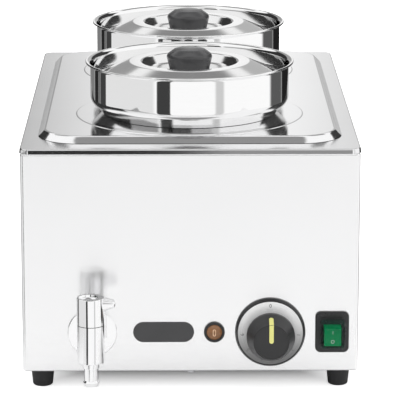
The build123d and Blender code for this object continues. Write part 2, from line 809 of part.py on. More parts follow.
element_z = tank_under_z - heater_t - element_r - clamp_gap
element_x = [(leg - (element_legs - 1) / 2) * element_pitch for leg in range(element_legs)]
element_front_y = deck_y - element_turn_y - element_tail
element_route = [(element_x[0], element_front_y, element_z)]
for leg, (near_x, far_x) in enumerate(zip(element_x, element_x[1:])):
    turn_y = deck_y + (element_turn_y if leg % 2 == 0 else -element_turn_y)
    element_route += [(near_x, turn_y, element_z), (far_x, turn_y, element_z)]
element_route.append((element_x[-1], element_front_y, element_z))
with BuildPart() as heating_element:
    with BuildLine() as element_line:
        FilletPolyline(*element_route, radius=element_pitch / 2 - clamp_gap)
    with BuildSketch(Plane(origin=element_route[0], z_dir=(0, 1, 0))):
        Circle(element_r)
    sweep(path=element_line.wires()[0])
    with BuildSketch(Plane(origin=element_route[0], x_dir=(1, 0, 0), z_dir=(0, -1, 0))):
        with Locations((0, 0), (element_x[-1] - element_x[0], 0)):
            Circle(element_pin_r)
    extrude(amount=element_pin_l)
save(heating_element, "heating_element")

clamp_z = element_z - element_r - clamp_gap
with BuildPart() as heater_clamps:
    with BuildSketch(Plane.XY.offset(clamp_z)):
        with Locations(centre):
            with GridLocations(0, 2 * clamp_y, 1, 2):
                SlotOverall(heater_w, clamp_w)
        with Locations(*corners(stud_x, clamp_y)):
            Circle(stud_r + slip_gap, mode=Mode.SUBTRACT)
    extrude(amount=-clamp_t)
save(heater_clamps, "heater_clamps")

with BuildPart() as heater_nuts:
    with BuildSketch(Plane.XY.offset(clamp_z - clamp_t)):
        with Locations(*corners(stud_x, clamp_y)):
            RegularPolygon(2 * stud_r, 6)
            Circle(stud_r + run_gap, mode=Mode.SUBTRACT)
    extrude(amount=-1.6 * stud_r)
save(heater_nuts, "heater_nuts")

# Overheat cut-out: a disc held under the well behind the heater
with BuildPart() as overheat_cutout:
    with BuildSketch(Plane.XY.offset(tank_under_z)):
        with Locations((0, deck_y + (heater_d + well_d) / 4 - well_floor_r / 2)):
            Circle(cutout_r)
    extrude(amount=-cutout_h)
    with BuildSketch(Plane.XY.offset(tank_under_z - cutout_h)):
        with Locations((0, deck_y + (heater_d + well_d) / 4 - well_floor_r / 2)):
            with GridLocations(cutout_r, 0, 2, 1):
                Rectangle(blade_t, blade_w)
    extrude(amount=-blade_l)
save(overheat_cutout, "overheat_cutout")

# Thermostat behind the panel: case with its bush, capillary and bulb, and two screws
with BuildPart() as thermostat:
    with BuildSketch(from_front(dial_x, control_z, -sheet)):
        RectangleRounded(thermo_w, thermo_h, bush_r / 2)
    extrude(amount=-thermo_d)
    with BuildSketch(from_front(dial_x, control_z, -sheet)):
        Circle(bush_r)
    extrude(amount=2 * sheet)
    with BuildSketch(from_front(dial_x, control_z, sheet)):
        Circle(shaft_r + run_gap)
    extrude(amount=-thermo_d / 2 - 2 * sheet, mode=Mode.SUBTRACT)
    with BuildSketch(from_front(dial_x, control_z, sheet)):
        with GridLocations(thermo_screw_pitch, 0, 2, 1):
            Circle(thermo_screw_r)
    extrude(amount=-thermo_d / 2, mode=Mode.SUBTRACT)
save(thermostat, "thermostat")

bulb_x = element_x[-1] - element_pitch / 2
bulb_y = deck_y - bulb_l
thermo_back_y = inner_y + thermo_d
capillary_z = control_z + thermo_h / 3
capillary_start = (dial_x - thermo_w / 4, thermo_back_y, capillary_z)
with BuildPart() as thermostat_bulb:
    with BuildLine() as capillary_line:
        FilletPolyline(
            capillary_start,
            (capillary_start[0], thermo_back_y + thermo_d, capillary_z),
            (bulb_x, thermo_back_y + 2 * thermo_d, element_z),
            (bulb_x, bulb_y, element_z),
            radius=[bulb_r * 3, bulb_r * 3],
        )
    with BuildSketch(Plane(origin=capillary_start, z_dir=(0, 1, 0))):
        Circle(capillary_r)
    sweep(path=capillary_line.wires()[0])
    with BuildSketch(Plane(origin=(bulb_x, bulb_y, element_z), z_dir=(0, 1, 0))):
        Circle(bulb_r)
    extrude(amount=bulb_l)
save(thermostat_bulb, "thermostat_bulb")

with BuildPart() as thermostat_screws:
    with BuildSketch(from_front(dial_x, control_z)):
        with GridLocations(thermo_screw_pitch, 0, 2, 1):
            Circle(thermo_head_r)
    extrude(amount=screw_head_h)
    with BuildSketch(from_front(dial_x, control_z)):
        with GridLocations(thermo_screw_pitch, 0, 2, 1):
            Circle(thermo_screw_r - run_gap)
    extrude(amount=-thermo_screw_l)
save(thermostat_screws, "thermostat_screws")

# Dial: a black bezel round a brushed ring, and the knob that turns in front of it
ring_seat = bezel_h - ring_t - ring_set_back
with BuildPart() as dial_bezel:
    with BuildSketch(front_profile(dial_x)):
        with BuildLine():
            FilletPolyline(
                (ring_r, bezel_h), (bezel_front_r, bezel_h), (bezel_r, bezel_side_h), (bezel_r, 0),
                radius=[ring_t / 2, ring_t],
            )
            Polyline(
                (bezel_r, 0), (bezel_r - bezel_wall, 0), (bezel_r - bezel_wall - bezel_lean, ring_seat - sheet),
                (bush_r + slip_gap, ring_seat - sheet),
                (bush_r + slip_gap, ring_seat), (ring_r, ring_seat), (ring_r, bezel_h),
            )
        make_face()
    revolve(axis=front_axis(dial_x))
save(dial_bezel, "dial_bezel")

with BuildPart() as dial_ring:
    with BuildSketch(from_front(dial_x, control_z, bezel_h - ring_set_back)):
        Circle(ring_r - run_gap)
        Circle(ring_in_r, mode=Mode.SUBTRACT)
    extrude(amount=-ring_t)
save(dial_ring, "dial_ring")

knob_sides = [
    (0, knob_start), (knob_foot_r, knob_start), (knob_r, knob_wide_at), (knob_r, knob_wide_at + knob_wide_l),
    (knob_cap_r, knob_out - ring_t), (0, knob_out),
]
knob_bends = [knob_round_r, knob_round_r, knob_round_r, knob_cap_round_r]
pointer_sides = [
    (knob_r + pointer_proud, knob_wide_at + knob_wide_l),
    (knob_cap_r + pointer_proud, knob_out - ring_t + pointer_proud),
    (-pointer_w / 4, knob_out + pointer_proud),
]
with BuildPart() as dial_pointer:
    with BuildSketch(Plane(origin=(dial_x, front_y, control_z), x_dir=(0, 0, 1), z_dir=(1, 0, 0))):
        with BuildLine():
            track = FilletPolyline(*pointer_sides, radius=ring_t)
            offset(amount=pointer_t, side=Side.LEFT)
        make_face()
    extrude(amount=pointer_w / 2, both=True)
save(dial_pointer, "dial_pointer")

with BuildPart() as dial_knob:
    with BuildSketch(front_profile(dial_x)):
        with BuildLine():
            side = FilletPolyline(*knob_sides, radius=knob_bends)
            Line(side @ 1, side @ 0)
        make_face()
    revolve(axis=front_axis(dial_x))
    add(dial_pointer.part, mode=Mode.SUBTRACT)
    with BuildSketch(from_front(dial_x, control_z)):
        Circle(shaft_r + run_gap)
    extrude(amount=shaft_out + sheet, mode=Mode.SUBTRACT)
save(dial_knob, "dial_knob")

with BuildPart() as thermostat_shaft:
    with BuildSketch(from_front(dial_x, control_z, shaft_out)):
        Circle(shaft_r)
    extrude(amount=-shaft_out - thermo_d / 2 + sheet)
    with BuildSketch(from_front(dial_x, control_z, shaft_out)):
        with Locations((0, -shaft_flat_at - shaft_r / 2)):
            Rectangle(2 * shaft_r, shaft_r)
    extrude(amount=knob_start - shaft_out, mode=Mode.SUBTRACT)
save(thermostat_shaft, "thermostat_shaft")

# Pilot lamp: rim, domed lens, and the holder with its nut behind the panel
with BuildPart() as pilot_rim_ring:
    with BuildSketch(from_front(pilot_x, control_z)):
        Circle(pilot_r)
        Circle(lens_r + run_gap, mode=Mode.SUBTRACT)
    extrude(amount=pilot_rim)
    fillet(pilot_rim_ring.edges().group_by(Axis.Y)[0], pilot_rim / 4)
save(pilot_rim_ring, "pilot_rim")

with BuildPart() as pilot_lens:
    with BuildSketch(front_profile(pilot_x)):
        with BuildLine():
            dome = TangentArc((0, lens_out), (lens_r, pilot_rim - sheet), tangent=(1, 0))
            Polyline(dome @ 1, (lens_r, 0), (0, 0), dome @ 0)
        make_face()
    revolve(axis=front_axis(pilot_x))
save(pilot_lens, "pilot_lens")

with BuildPart() as pilot_holder:
    with BuildSketch(from_front(pilot_x, control_z)):
        Circle(pilot_body_r)
    extrude(amount=-pilot_body_l)
    with BuildSketch(from_front(pilot_x, control_z, -pilot_body_l)):
        with GridLocations(pilot_body_r, 0, 2, 1):
            Rectangle(blade_t, blade_w)
    extrude(amount=-blade_l)
save(pilot_holder, "pilot_holder")

with BuildPart() as pilot_nut:
    with BuildSketch(from_front(pilot_x, control_z, -sheet)):
        RegularPolygon(pilot_nut_r, 6)
        Circle(pilot_body_r + run_gap, mode=Mode.SUBTRACT)
    extrude(amount=-3 * sheet)
save(pilot_nut, "pilot_nut")

# Rocker switch: frame and housing through the panel, and a clear hood over the lit rocker
opening_w = rocker_w + 2 * opening_gap_w
opening_h = rocker_h + 2 * opening_gap_h
with BuildPart() as switch_frame:
    with BuildSketch(from_front(switch_x, control_z)):
        RectangleRounded(frame_w, frame_h, frame_corner_r)
    extrude(amount=frame_t)
    fillet(switch_frame.faces().sort_by(Axis.Y)[0].edges(), frame_t / 2)
    with BuildSketch(from_front(switch_x, control_z, frame_t)):
        Rectangle(opening_w, opening_h)
    extrude(amount=-frame_t, mode=Mode.SUBTRACT)
save(switch_frame, "switch_frame")

with BuildPart() as switch_housing:
    with BuildSketch(from_front(switch_x, control_z)):
        Rectangle(switch_body_w, switch_body_h)
    extrude(amount=-switch_body_d)
    with BuildSketch(from_front(switch_x, control_z)):
        Rectangle(rocker_w + 2 * rocker_side_gap, opening_h)
    extrude(amount=-switch_body_d / 2, mode=Mode.SUBTRACT)
    with BuildSketch(Plane(origin=(switch_x, front_y + rocker_pivot_in, control_z), z_dir=(1, 0, 0))):
        Circle(rocker_pin_r + run_gap)
    extrude(amount=rocker_w / 2 + rocker_pin_r, both=True, mode=Mode.SUBTRACT)
    with BuildSketch(from_front(switch_x, control_z, -switch_body_d)):
        with GridLocations(switch_body_w / 2, switch_body_h / 2, 2, 2):
            Rectangle(blade_t, blade_w)
    extrude(amount=-blade_l)
save(switch_housing, "switch_housing")

rocker_tilt = math.radians(rocker_swing / 2)
rocker_plane = Plane(
    origin=(switch_x, front_y + rocker_pivot_in, control_z),
    x_dir=(0, -math.cos(rocker_tilt), -math.sin(rocker_tilt)), z_dir=(-1, 0, 0),
)
rocker_arm = rocker_out + rocker_pivot_in
with BuildPart() as switch_rocker:
    with BuildSketch(rocker_plane):
        with BuildLine():
            face = ThreePointArc(
                (rocker_arm, -rocker_h / 2), (rocker_arm - rocker_hollow, 0), (rocker_arm, rocker_h / 2),
            )
            Polyline(
                face @ 1, (frame_t, rocker_h / 2 - sheet), (-rocker_pivot_in, rocker_h / 4),
                (-rocker_pivot_in, -rocker_h / 4), (frame_t, sheet - rocker_h / 2), face @ 0,
            )
        make_face()
    extrude(amount=rocker_w / 2, both=True)
    with BuildSketch(rocker_plane):
        Circle(rocker_pin_r)
    extrude(amount=rocker_w / 2 + rocker_pin_r, both=True)
save(switch_rocker, "switch_rocker")

with BuildPart() as switch_hood:
    with BuildSketch(from_front(switch_x, control_z, frame_t)):
        RectangleRounded(hood_w, hood_h, hood_corner_r)
    extrude(amount=hood_out - frame_t)
    fillet(switch_hood.faces().sort_by(Axis.Y)[0].edges(), 2 * hood_t)
    with BuildSketch(from_front(switch_x, control_z, frame_t)):
        RectangleRounded(hood_w - 2 * hood_t, hood_h - 2 * hood_t, hood_corner_r - hood_t)
    extrude(amount=hood_out - frame_t - hood_t, mode=Mode.SUBTRACT)
save(switch_hood, "switch_hood")

# Supply side: cable gland in the rear wall with its nut, and the terminal block on the base
with BuildPart() as cable_gland:
    with BuildSketch(Plane(origin=(gland_x, rear_y, gland_z), z_dir=(0, 1, 0))):
        RegularPolygon(gland_hex_r, 6)
    extrude(amount=gland_hex_l)
    with BuildSketch(Plane(origin=(gland_x, rear_y + gland_hex_l, gland_z), z_dir=(0, 1, 0))):
        Circle(gland_hex_r - sheet)
    extrude(amount=gland_dome_l)
    fillet(cable_gland.edges().group_by(Axis.Y)[-1], gland_dome_l / 3)
    with BuildSketch(Plane(origin=(gland_x, rear_y, gland_z), z_dir=(0, 1, 0))):
        Circle(gland_thread_r)
    extrude(amount=-gland_in)
    with BuildSketch(Plane(origin=(gland_x, rear_y - gland_in, gland_z), z_dir=(0, 1, 0))):
        Circle(gland_bore_r)
    extrude(amount=gland_in + gland_out, mode=Mode.SUBTRACT)
save(cable_gland, "cable_gland")

with BuildPart() as gland_nut:
    with BuildSketch(Plane(origin=(gland_x, rear_y - sheet, gland_z), z_dir=(0, -1, 0))):
        RegularPolygon(gland_hex_r, 6)
        Circle(gland_thread_r + run_gap, mode=Mode.SUBTRACT)
    extrude(amount=gland_in / 2)
save(gland_nut, "gland_nut")

block_at = (gland_x - block_w, rear_y - 3 * block_d)
pole_pitch = block_w / block_poles
with BuildPart() as terminal_block:
    with BuildSketch(Plane.XY.offset(case_z)):
        with Locations(block_at):
            Rectangle(block_w, block_d)
    extrude(amount=block_h)
    with BuildSketch(Plane.XY.offset(case_z + block_h)):
        with Locations(block_at):
            with GridLocations(pole_pitch, block_d / 2, block_poles, 2):
                Circle(screw_r)
    extrude(amount=-block_h / 2, mode=Mode.SUBTRACT)
    with BuildSketch(Plane(origin=(block_at[0], block_at[1], case_z + block_h / 3), z_dir=(0, 1, 0))):
        with GridLocations(pole_pitch, 0, block_poles, 1):
            Circle(screw_r)
    extrude(amount=block_d, both=True, mode=Mode.SUBTRACT)
save(terminal_block, "terminal_block")
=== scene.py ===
import math

import bmesh
import bpy
import numpy as np
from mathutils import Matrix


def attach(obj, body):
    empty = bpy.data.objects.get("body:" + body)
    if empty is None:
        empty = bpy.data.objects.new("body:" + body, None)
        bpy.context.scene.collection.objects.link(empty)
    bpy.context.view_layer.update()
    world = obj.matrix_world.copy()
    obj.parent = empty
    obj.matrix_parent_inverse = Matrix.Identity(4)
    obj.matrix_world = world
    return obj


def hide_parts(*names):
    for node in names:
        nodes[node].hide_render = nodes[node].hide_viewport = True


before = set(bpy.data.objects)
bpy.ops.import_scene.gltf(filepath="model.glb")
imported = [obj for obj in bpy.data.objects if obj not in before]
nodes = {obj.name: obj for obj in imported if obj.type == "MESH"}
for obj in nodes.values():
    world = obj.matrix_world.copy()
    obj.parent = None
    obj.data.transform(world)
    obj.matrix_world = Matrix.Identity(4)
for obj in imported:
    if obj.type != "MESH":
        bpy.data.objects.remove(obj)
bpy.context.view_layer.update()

scene = bpy.context.scene
scene.view_settings.view_transform = "Standard"
mm = 0.001
white = (1, 1, 1, 1)

# measures shared by several pieces, in millimetres, as the solids have them
layout = {
    "frontY": -251.175, "deckY": 17.825, "controlZ": 60.0,
    "tapX": -98.7, "tapY": -296.175, "pilotX": 24.0, "dialX": 80.2, "switchX": 142.5,
    "seatZ": 257.2, "rimZ": 311.6, "potZ": 142.2, "potPitch": 246.0,
}
potPlaces = {
    "front": layout["deckY"] - layout["potPitch"] / 2,
    "rear": layout["deckY"] + layout["potPitch"] / 2,
}
# the casing's place on the floor, in metres
footprint = {"y": layout["deckY"] * mm, "halfWide": 0.17, "halfLong": 0.269}


# viewer, light and floor

# place, near and far are in metres, pitchDeg turns down, yaw turns right in radians, and lens and sensor are
# in millimetres
viewer = {
    "place": (-0.0145, -2.783675, 0.8055), "pitchDeg": 13.52, "yaw": 0.0095, "lens": 235.8, "sensor": 36,
    "near": 0.05, "far": 60,
}


def newObject(name, data):
    obj = bpy.data.objects.new(name, data)
    scene.collection.objects.link(obj)
    return obj


def placeViewer(v):
    lens = bpy.data.cameras.new("viewer")
    lens.sensor_fit = "HORIZONTAL"
    lens.sensor_width = v["sensor"]
    lens.lens = v["lens"]
    lens.clip_start = v["near"]
    lens.clip_end = v["far"]
    obj = newObject("viewer", lens)
    obj.location = v["place"]
    obj.rotation_euler = (math.radians(90 - v["pitchDeg"]), 0, -v["yaw"])
    scene.camera = obj


def newTree(owner):
    owner.use_nodes = True
    tree = owner.node_tree
    tree.nodes.clear()
    return tree


def put(tree, kind, settings=None, **sockets):
    # a node with its settings and the values or links of its inputs: i2 is input 2, Base_Color is Base Color
    node = tree.nodes.new("ShaderNode" + kind)
    for key, value in (settings or {}).items():
        setattr(node, key, value)
    for key, value in sockets.items():
        numbered = key[0] == "i" and key[1:].isdigit()
        socket = node.inputs[int(key[1:]) if numbered else key.replace("_", " ")]
        if isinstance(value, bpy.types.NodeSocket):
            tree.links.new(value, socket)
        else:
            socket.default_value = value
    return node


def sums(tree, operation, a, b=0.0):
    return put(tree, "Math", {"operation": operation}, i0=a, i1=b).outputs[0]


def ramp(tree, value, low, high, fromValue=0.0, toValue=1.0):
    # goes smoothly from one value to the other while the input goes from low to high
    smooth = {"interpolation_type": "SMOOTHSTEP"}
    return put(tree, "MapRange", smooth, i0=value, i1=low, i2=high, i3=fromValue, i4=toValue).outputs[0]


def mixColours(tree, share, first, second, blend="MIX"):
    settings = {"data_type": "RGBA", "blend_type": blend}
    return put(tree, "Mix", settings, i0=share, i6=first, i7=second).outputs[2]


def mixValues(tree, share, first, second):
    return put(tree, "Mix", {"data_type": "FLOAT"}, i0=share, i2=first, i3=second).outputs[0]


def greyOf(tree, level):
    return put(tree, "CombineColor", i0=level, i1=level, i2=level).outputs[0]


# the studio as mirrors see it, in degrees: the bearing is counted from the front towards the right.
# Each band is from bearing, to bearing, softness, from elevation, to elevation, softness, and its grey.
# litBelow and litAbove are the strengths at which matt surfaces are lit from straight below and above
studio = {
    "bands": {
        "left wall": (-114, -42, 3, -95, 32, 3, 0.78),
        "strip": (-38.5, -22.5, 0.8, -95, 32, 3, 0.05),
        "seam": (30, 40, 2, -95, 32, 3, 0.62),
        "low far left": (-190, -144, 3, -95, -3, 1.5, 0.2),
        "low left line": (-144, -132, 1, -95, -3, 1.5, 0.02),
        "low left gap": (-132, -127, 1, -95, -3, 1.5, 0.15),
        "low left": (-127, -114, 1, -95, -3, 1.5, 0.05),
        "low right": (108, 135, 3, -95, -3, 1.5, 0.1),
        "low far right": (135, 190, 2, -95, -3, 1.5, 0.015),
        "dark left": (-160, -84, 3, -3, 32, 1.5, 0.03),
        "dark right": (112, 160, 3, -3, 32, 1.5, 0.04),
        "mid left": (-84, -42, 3, -3, 20, 1.5, 0.4),
        "back left": (-177.5, -160, 3, 4, 32, 1.5, 0.34),
        "back right": (160, 176, 3, 4, 32, 1.5, 0.5),
        "back left foot": (-177.5, -160, 3, -3, 4, 1.5, 0.48),
        "back right foot": (160, 176, 3, -3, 4, 1.5, 0.56),
        "back high left": (-190, -120, 4, 44, 66, 3, 0.26),
        "back high right": (120, 190, 4, 44, 66, 3, 0.26),
        "viewer left": (-12, 1, 1, -5.5, 3.5, 1, 0.03),
        "viewer right": (1, 12, 1, -5.5, 3.5, 1, 0.3),
        "above viewer left": (-28, 3, 2, 8, 20, 1.5, 0.05),
        "above viewer right": (3, 30, 2, 8, 20, 1.5, 0.45),
        "ceiling": (-50, 50, 12, 55, 95, 5, 0.28),
    },
    "litBelow": 0.45, "litAbove": 1.35,
}


def lightStudio(s):
    world = bpy.data.worlds.new("studio")
    scene.world = world
    tree = newTree(world)
    # elevation is the arcsine of z, and bearing the angle whose tangent is x over minus y
    parts = put(tree, "SeparateXYZ", i0=put(tree, "TexCoord").outputs["Generated"])
    x, y, z = parts.outputs
    elevation = sums(tree, "DEGREES", sums(tree, "ARCSINE", z))
    bearing = sums(tree, "DEGREES", sums(tree, "ARCTAN2", x, sums(tree, "MULTIPLY", y, -1.0)))

    def window(value, low, high, soft):
        rising = ramp(tree, value, low - soft, low + soft)
        return sums(tree, "MULTIPLY", rising, ramp(tree, value, high - soft, high + soft, 1.0, 0.0))

    level = 1.0
    for west, east, softAcross, low, high, softUp, grey in s["bands"].values():
        across = window(bearing, west, east, softAcross)
        mask = sums(tree, "MULTIPLY", across, window(elevation, low, high, softUp))
        # the level falls to grey of itself where the mask is one
        keep = put(tree, "Math", {"operation": "MULTIPLY_ADD"}, i0=mask, i1=grey - 1.0, i2=1.0).outputs[0]
        level = sums(tree, "MULTIPLY", keep, level)
    mirrored = put(tree, "Background", Color=greyOf(tree, level), Strength=1.0).outputs[0]
    rays = put(tree, "LightPath")
    # matt surfaces are lit more from above than from below, and the viewer sees plain white
    fromAbove = ramp(tree, z, -1.0, 1.0, s["litBelow"], s["litAbove"])
    lit = mixValues(tree, rays.outputs["Is Camera Ray"], fromAbove, 1.0)
    plain = put(tree, "Background", Color=white, Strength=lit).outputs[0]
    either = put(tree, "MixShader", i0=rays.outputs["Is Glossy Ray"], i1=plain, i2=mirrored).outputs[0]
    put(tree, "OutputWorld", Surface=either)


# half is the floor's half width. The painted glow and seen distances run outwards from the footprint, all in
# metres
floorValues = {
    "half": 6.0, "grey": 0.86, "paintedGlow": 0.65, "paintedGlowFrom": -0.085, "paintedGlowFull": -0.01, "seenNear": 0.04,
    "seenFar": 0.22,
}


def layFloor(p):
    half = p["half"]
    corners = [(-half, -half, 0), (half, -half, 0), (half, half, 0), (-half, half, 0)]
    mesh = bpy.data.meshes.new("floor")
    mesh.from_pydata(corners, [], [(0, 1, 2, 3)])
    floor = newObject("floor", mesh)
    surface = bpy.data.materials.new("paleFloor")
    tree = newTree(surface)
    # away is how far a point lies outside the footprint: the larger of its distances sideways and lengthways
    across, along, _ = put(tree, "SeparateXYZ", i0=put(tree, "NewGeometry").outputs["Position"]).outputs
    sideways = sums(tree, "SUBTRACT", sums(tree, "ABSOLUTE", across), footprint["halfWide"])
    lengthways = sums(tree, "ABSOLUTE", sums(tree, "SUBTRACT", along, footprint["y"]))
    away = sums(tree, "MAXIMUM", sideways, sums(tree, "SUBTRACT", lengthways, footprint["halfLong"]))
    # painted light: a glow that only the viewer sees lights the floor to white outside the footprint and
    # fades out under the object, so the real shadow shows only there
    matt = put(tree, "BsdfDiffuse", Color=(p["grey"], p["grey"], p["grey"], 1)).outputs[0]
    rays = put(tree, "LightPath")
    lit = ramp(tree, away, p["paintedGlowFrom"], p["paintedGlowFull"], 0.0, p["paintedGlow"])
    strength = sums(tree, "MULTIPLY", rays.outputs["Is Camera Ray"], lit)
    paintedGlow = put(tree, "Emission", Color=white, Strength=strength).outputs[0]
    paper = put(tree, "AddShader", i0=matt, i1=paintedGlow).outputs[0]
    # mirrors see it within a hand of the object, and the studio further out
    further = ramp(tree, away, p["seenNear"], p["seenFar"])
    far = sums(tree, "MULTIPLY", further, rays.outputs["Is Glossy Ray"])
    seen = put(tree, "MixShader", i0=far, i1=paper, i2=put(tree, "BsdfTransparent").outputs[0]).outputs[0]
    put(tree, "OutputMaterial", Surface=seen)
    mesh.materials.append(surface)


placeViewer(viewer)
lightStudio(studio)
layFloor(floorValues)
print("viewer, light and floor")


# shared surface effects: each group takes a place and puts out lines and patches from 0 to 1

def newGroup(name, **values):
    # a node group with Place and one more input for each value; a tuple makes a vector input
    group = bpy.data.node_groups.new(name, "ShaderNodeTree")
    group.interface.new_socket(name="Place", in_out="INPUT", socket_type="NodeSocketVector")
    for label, value in values.items():
        kind = "NodeSocketVector" if isinstance(value, tuple) else "NodeSocketFloat"
        socket = group.interface.new_socket(name=label, in_out="INPUT", socket_type=kind)
        socket.default_value = value
    for label in ("Lines", "Patches"):
        group.interface.new_socket(name=label, in_out="OUTPUT", socket_type="NodeSocketFloat")
    return group, group.nodes.new("NodeGroupInput").outputs


def closeGroup(tree, lines, patches):
    made = tree.nodes.new("NodeGroupOutput")
    tree.links.new(lines, made.inputs["Lines"])
    tree.links.new(patches, made.inputs["Patches"])
    return tree


def scaled(tree, place, factors):
    return put(tree, "VectorMath", {"operation": "MULTIPLY"}, i0=place, i1=factors).outputs[0]


def noiseOf(tree, vector, scale, detail=2.0, rough=0.5):
    return put(tree, "TexNoise", Vector=vector, Scale=scale, Detail=detail, Roughness=rough).outputs[0]


def makeBrushLines():
    # fine lines drawn out along one axis: noise on coordinates multiplied by Stretch
    tree, given = newGroup("brushLines", Stretch=(20, 900, 900), Patch=9.0)
    lines = noiseOf(tree, scaled(tree, given["Place"], given["Stretch"]), 1.0, 3.0, 0.6)
    return closeGroup(tree, lines, noiseOf(tree, given["Place"], given["Patch"]))


def makeSpunRings():
    # rings round an axis through the middle of a disc: noise on the distance from it, times Rings
    tree, given = newGroup("spunRings", Flatten=(1, 0, 1), Rings=2600.0, Patch=60.0)
    flat = scaled(tree, given["Place"], given["Flatten"])
    away = put(tree, "VectorMath", {"operation": "LENGTH"}, i0=flat).outputs["Value"]
    along = sums(tree, "MULTIPLY", away, given["Rings"])
    lines = put(tree, "TexNoise", {"noise_dimensions": "1D"}, W=along, Scale=1.0, Detail=3.0).outputs[0]
    return closeGroup(tree, lines, noiseOf(tree, given["Place"], given["Patch"]))


def makeFineGrain():
    # the even small grain of moulded plastic and rubber, with broad cloudy patches
    tree, given = newGroup("fineGrain", Size=1800.0, Patch=40.0)
    lines = noiseOf(tree, given["Place"], given["Size"])
    return closeGroup(tree, lines, noiseOf(tree, given["Place"], given["Patch"], 3.0))


effects = {"brush": makeBrushLines(), "spun": makeSpunRings(), "grain": makeFineGrain()}
# the noise stays almost wholly between these two
noiseSpan = (0.3, 0.7)


def makeFinish(s):
    # colour and roughness follow the mean of the effect's lines and patches, and the bump follows the lines
    material = bpy.data.materials.new(s["label"])
    tree = newTree(material)
    place = put(tree, "TexCoord").outputs["Object"]
    if "centre" in s:
        place = put(tree, "Mapping", i0=place, i1=[-value * mm for value in s["centre"]]).outputs[0]
    effect = put(tree, "Group", {"node_tree": effects[s["effect"]]}, Place=place, **s.get("pattern", {}))
    lines, patches = effect.outputs["Lines"], effect.outputs["Patches"]
    both = sums(tree, "MULTIPLY", sums(tree, "ADD", lines, patches), 0.5)
    dark = [value * (1 - s["tint"]) for value in s["colour"]] + [1.0]
    light = [min(1.0, value * (1 + s["tint"])) for value in s["colour"]] + [1.0]
    shade = mixColours(tree, ramp(tree, both, *noiseSpan), dark, light)
    halfSpread = s["spread"] / 2
    roughness = ramp(tree, both, *noiseSpan, s["rough"] - halfSpread, s["rough"] + halfSpread)
    if "paintedHalfShade" in s:
        # painted shade: the colour darkens towards the lower half, standing in for the shadow of the knob,
        # which stands over it and takes its light
        given = s["paintedHalfShade"]
        height = put(tree, "SeparateXYZ", i0=place).outputs[2]
        level = ramp(tree, height, -given["reach"], given["reach"], given["low"], given["high"])
        shade = mixColours(tree, 1.0, shade, greyOf(tree, level), "MULTIPLY")
    if "smoothBelow" in s:
        # a rolled edge keeps its mill polish: smoother below this height
        given = s["smoothBelow"]
        height = put(tree, "SeparateXYZ", i0=place).outputs[2]
        above = ramp(tree, height, given["height"] - given["soft"], given["height"] + given["soft"])
        roughness = mixValues(tree, above, given["rough"], roughness)
    bump = put(tree, "Bump", Strength=1.0, Distance=s["depth"] * mm, Height=lines).outputs[0]
    shader = put(tree, "BsdfPrincipled", Base_Color=shade, Roughness=roughness, Metallic=s["metal"],
                 Normal=bump, **s.get("shader", {}))
    put(tree, "OutputMaterial", Surface=shader.outputs[0])
    return material
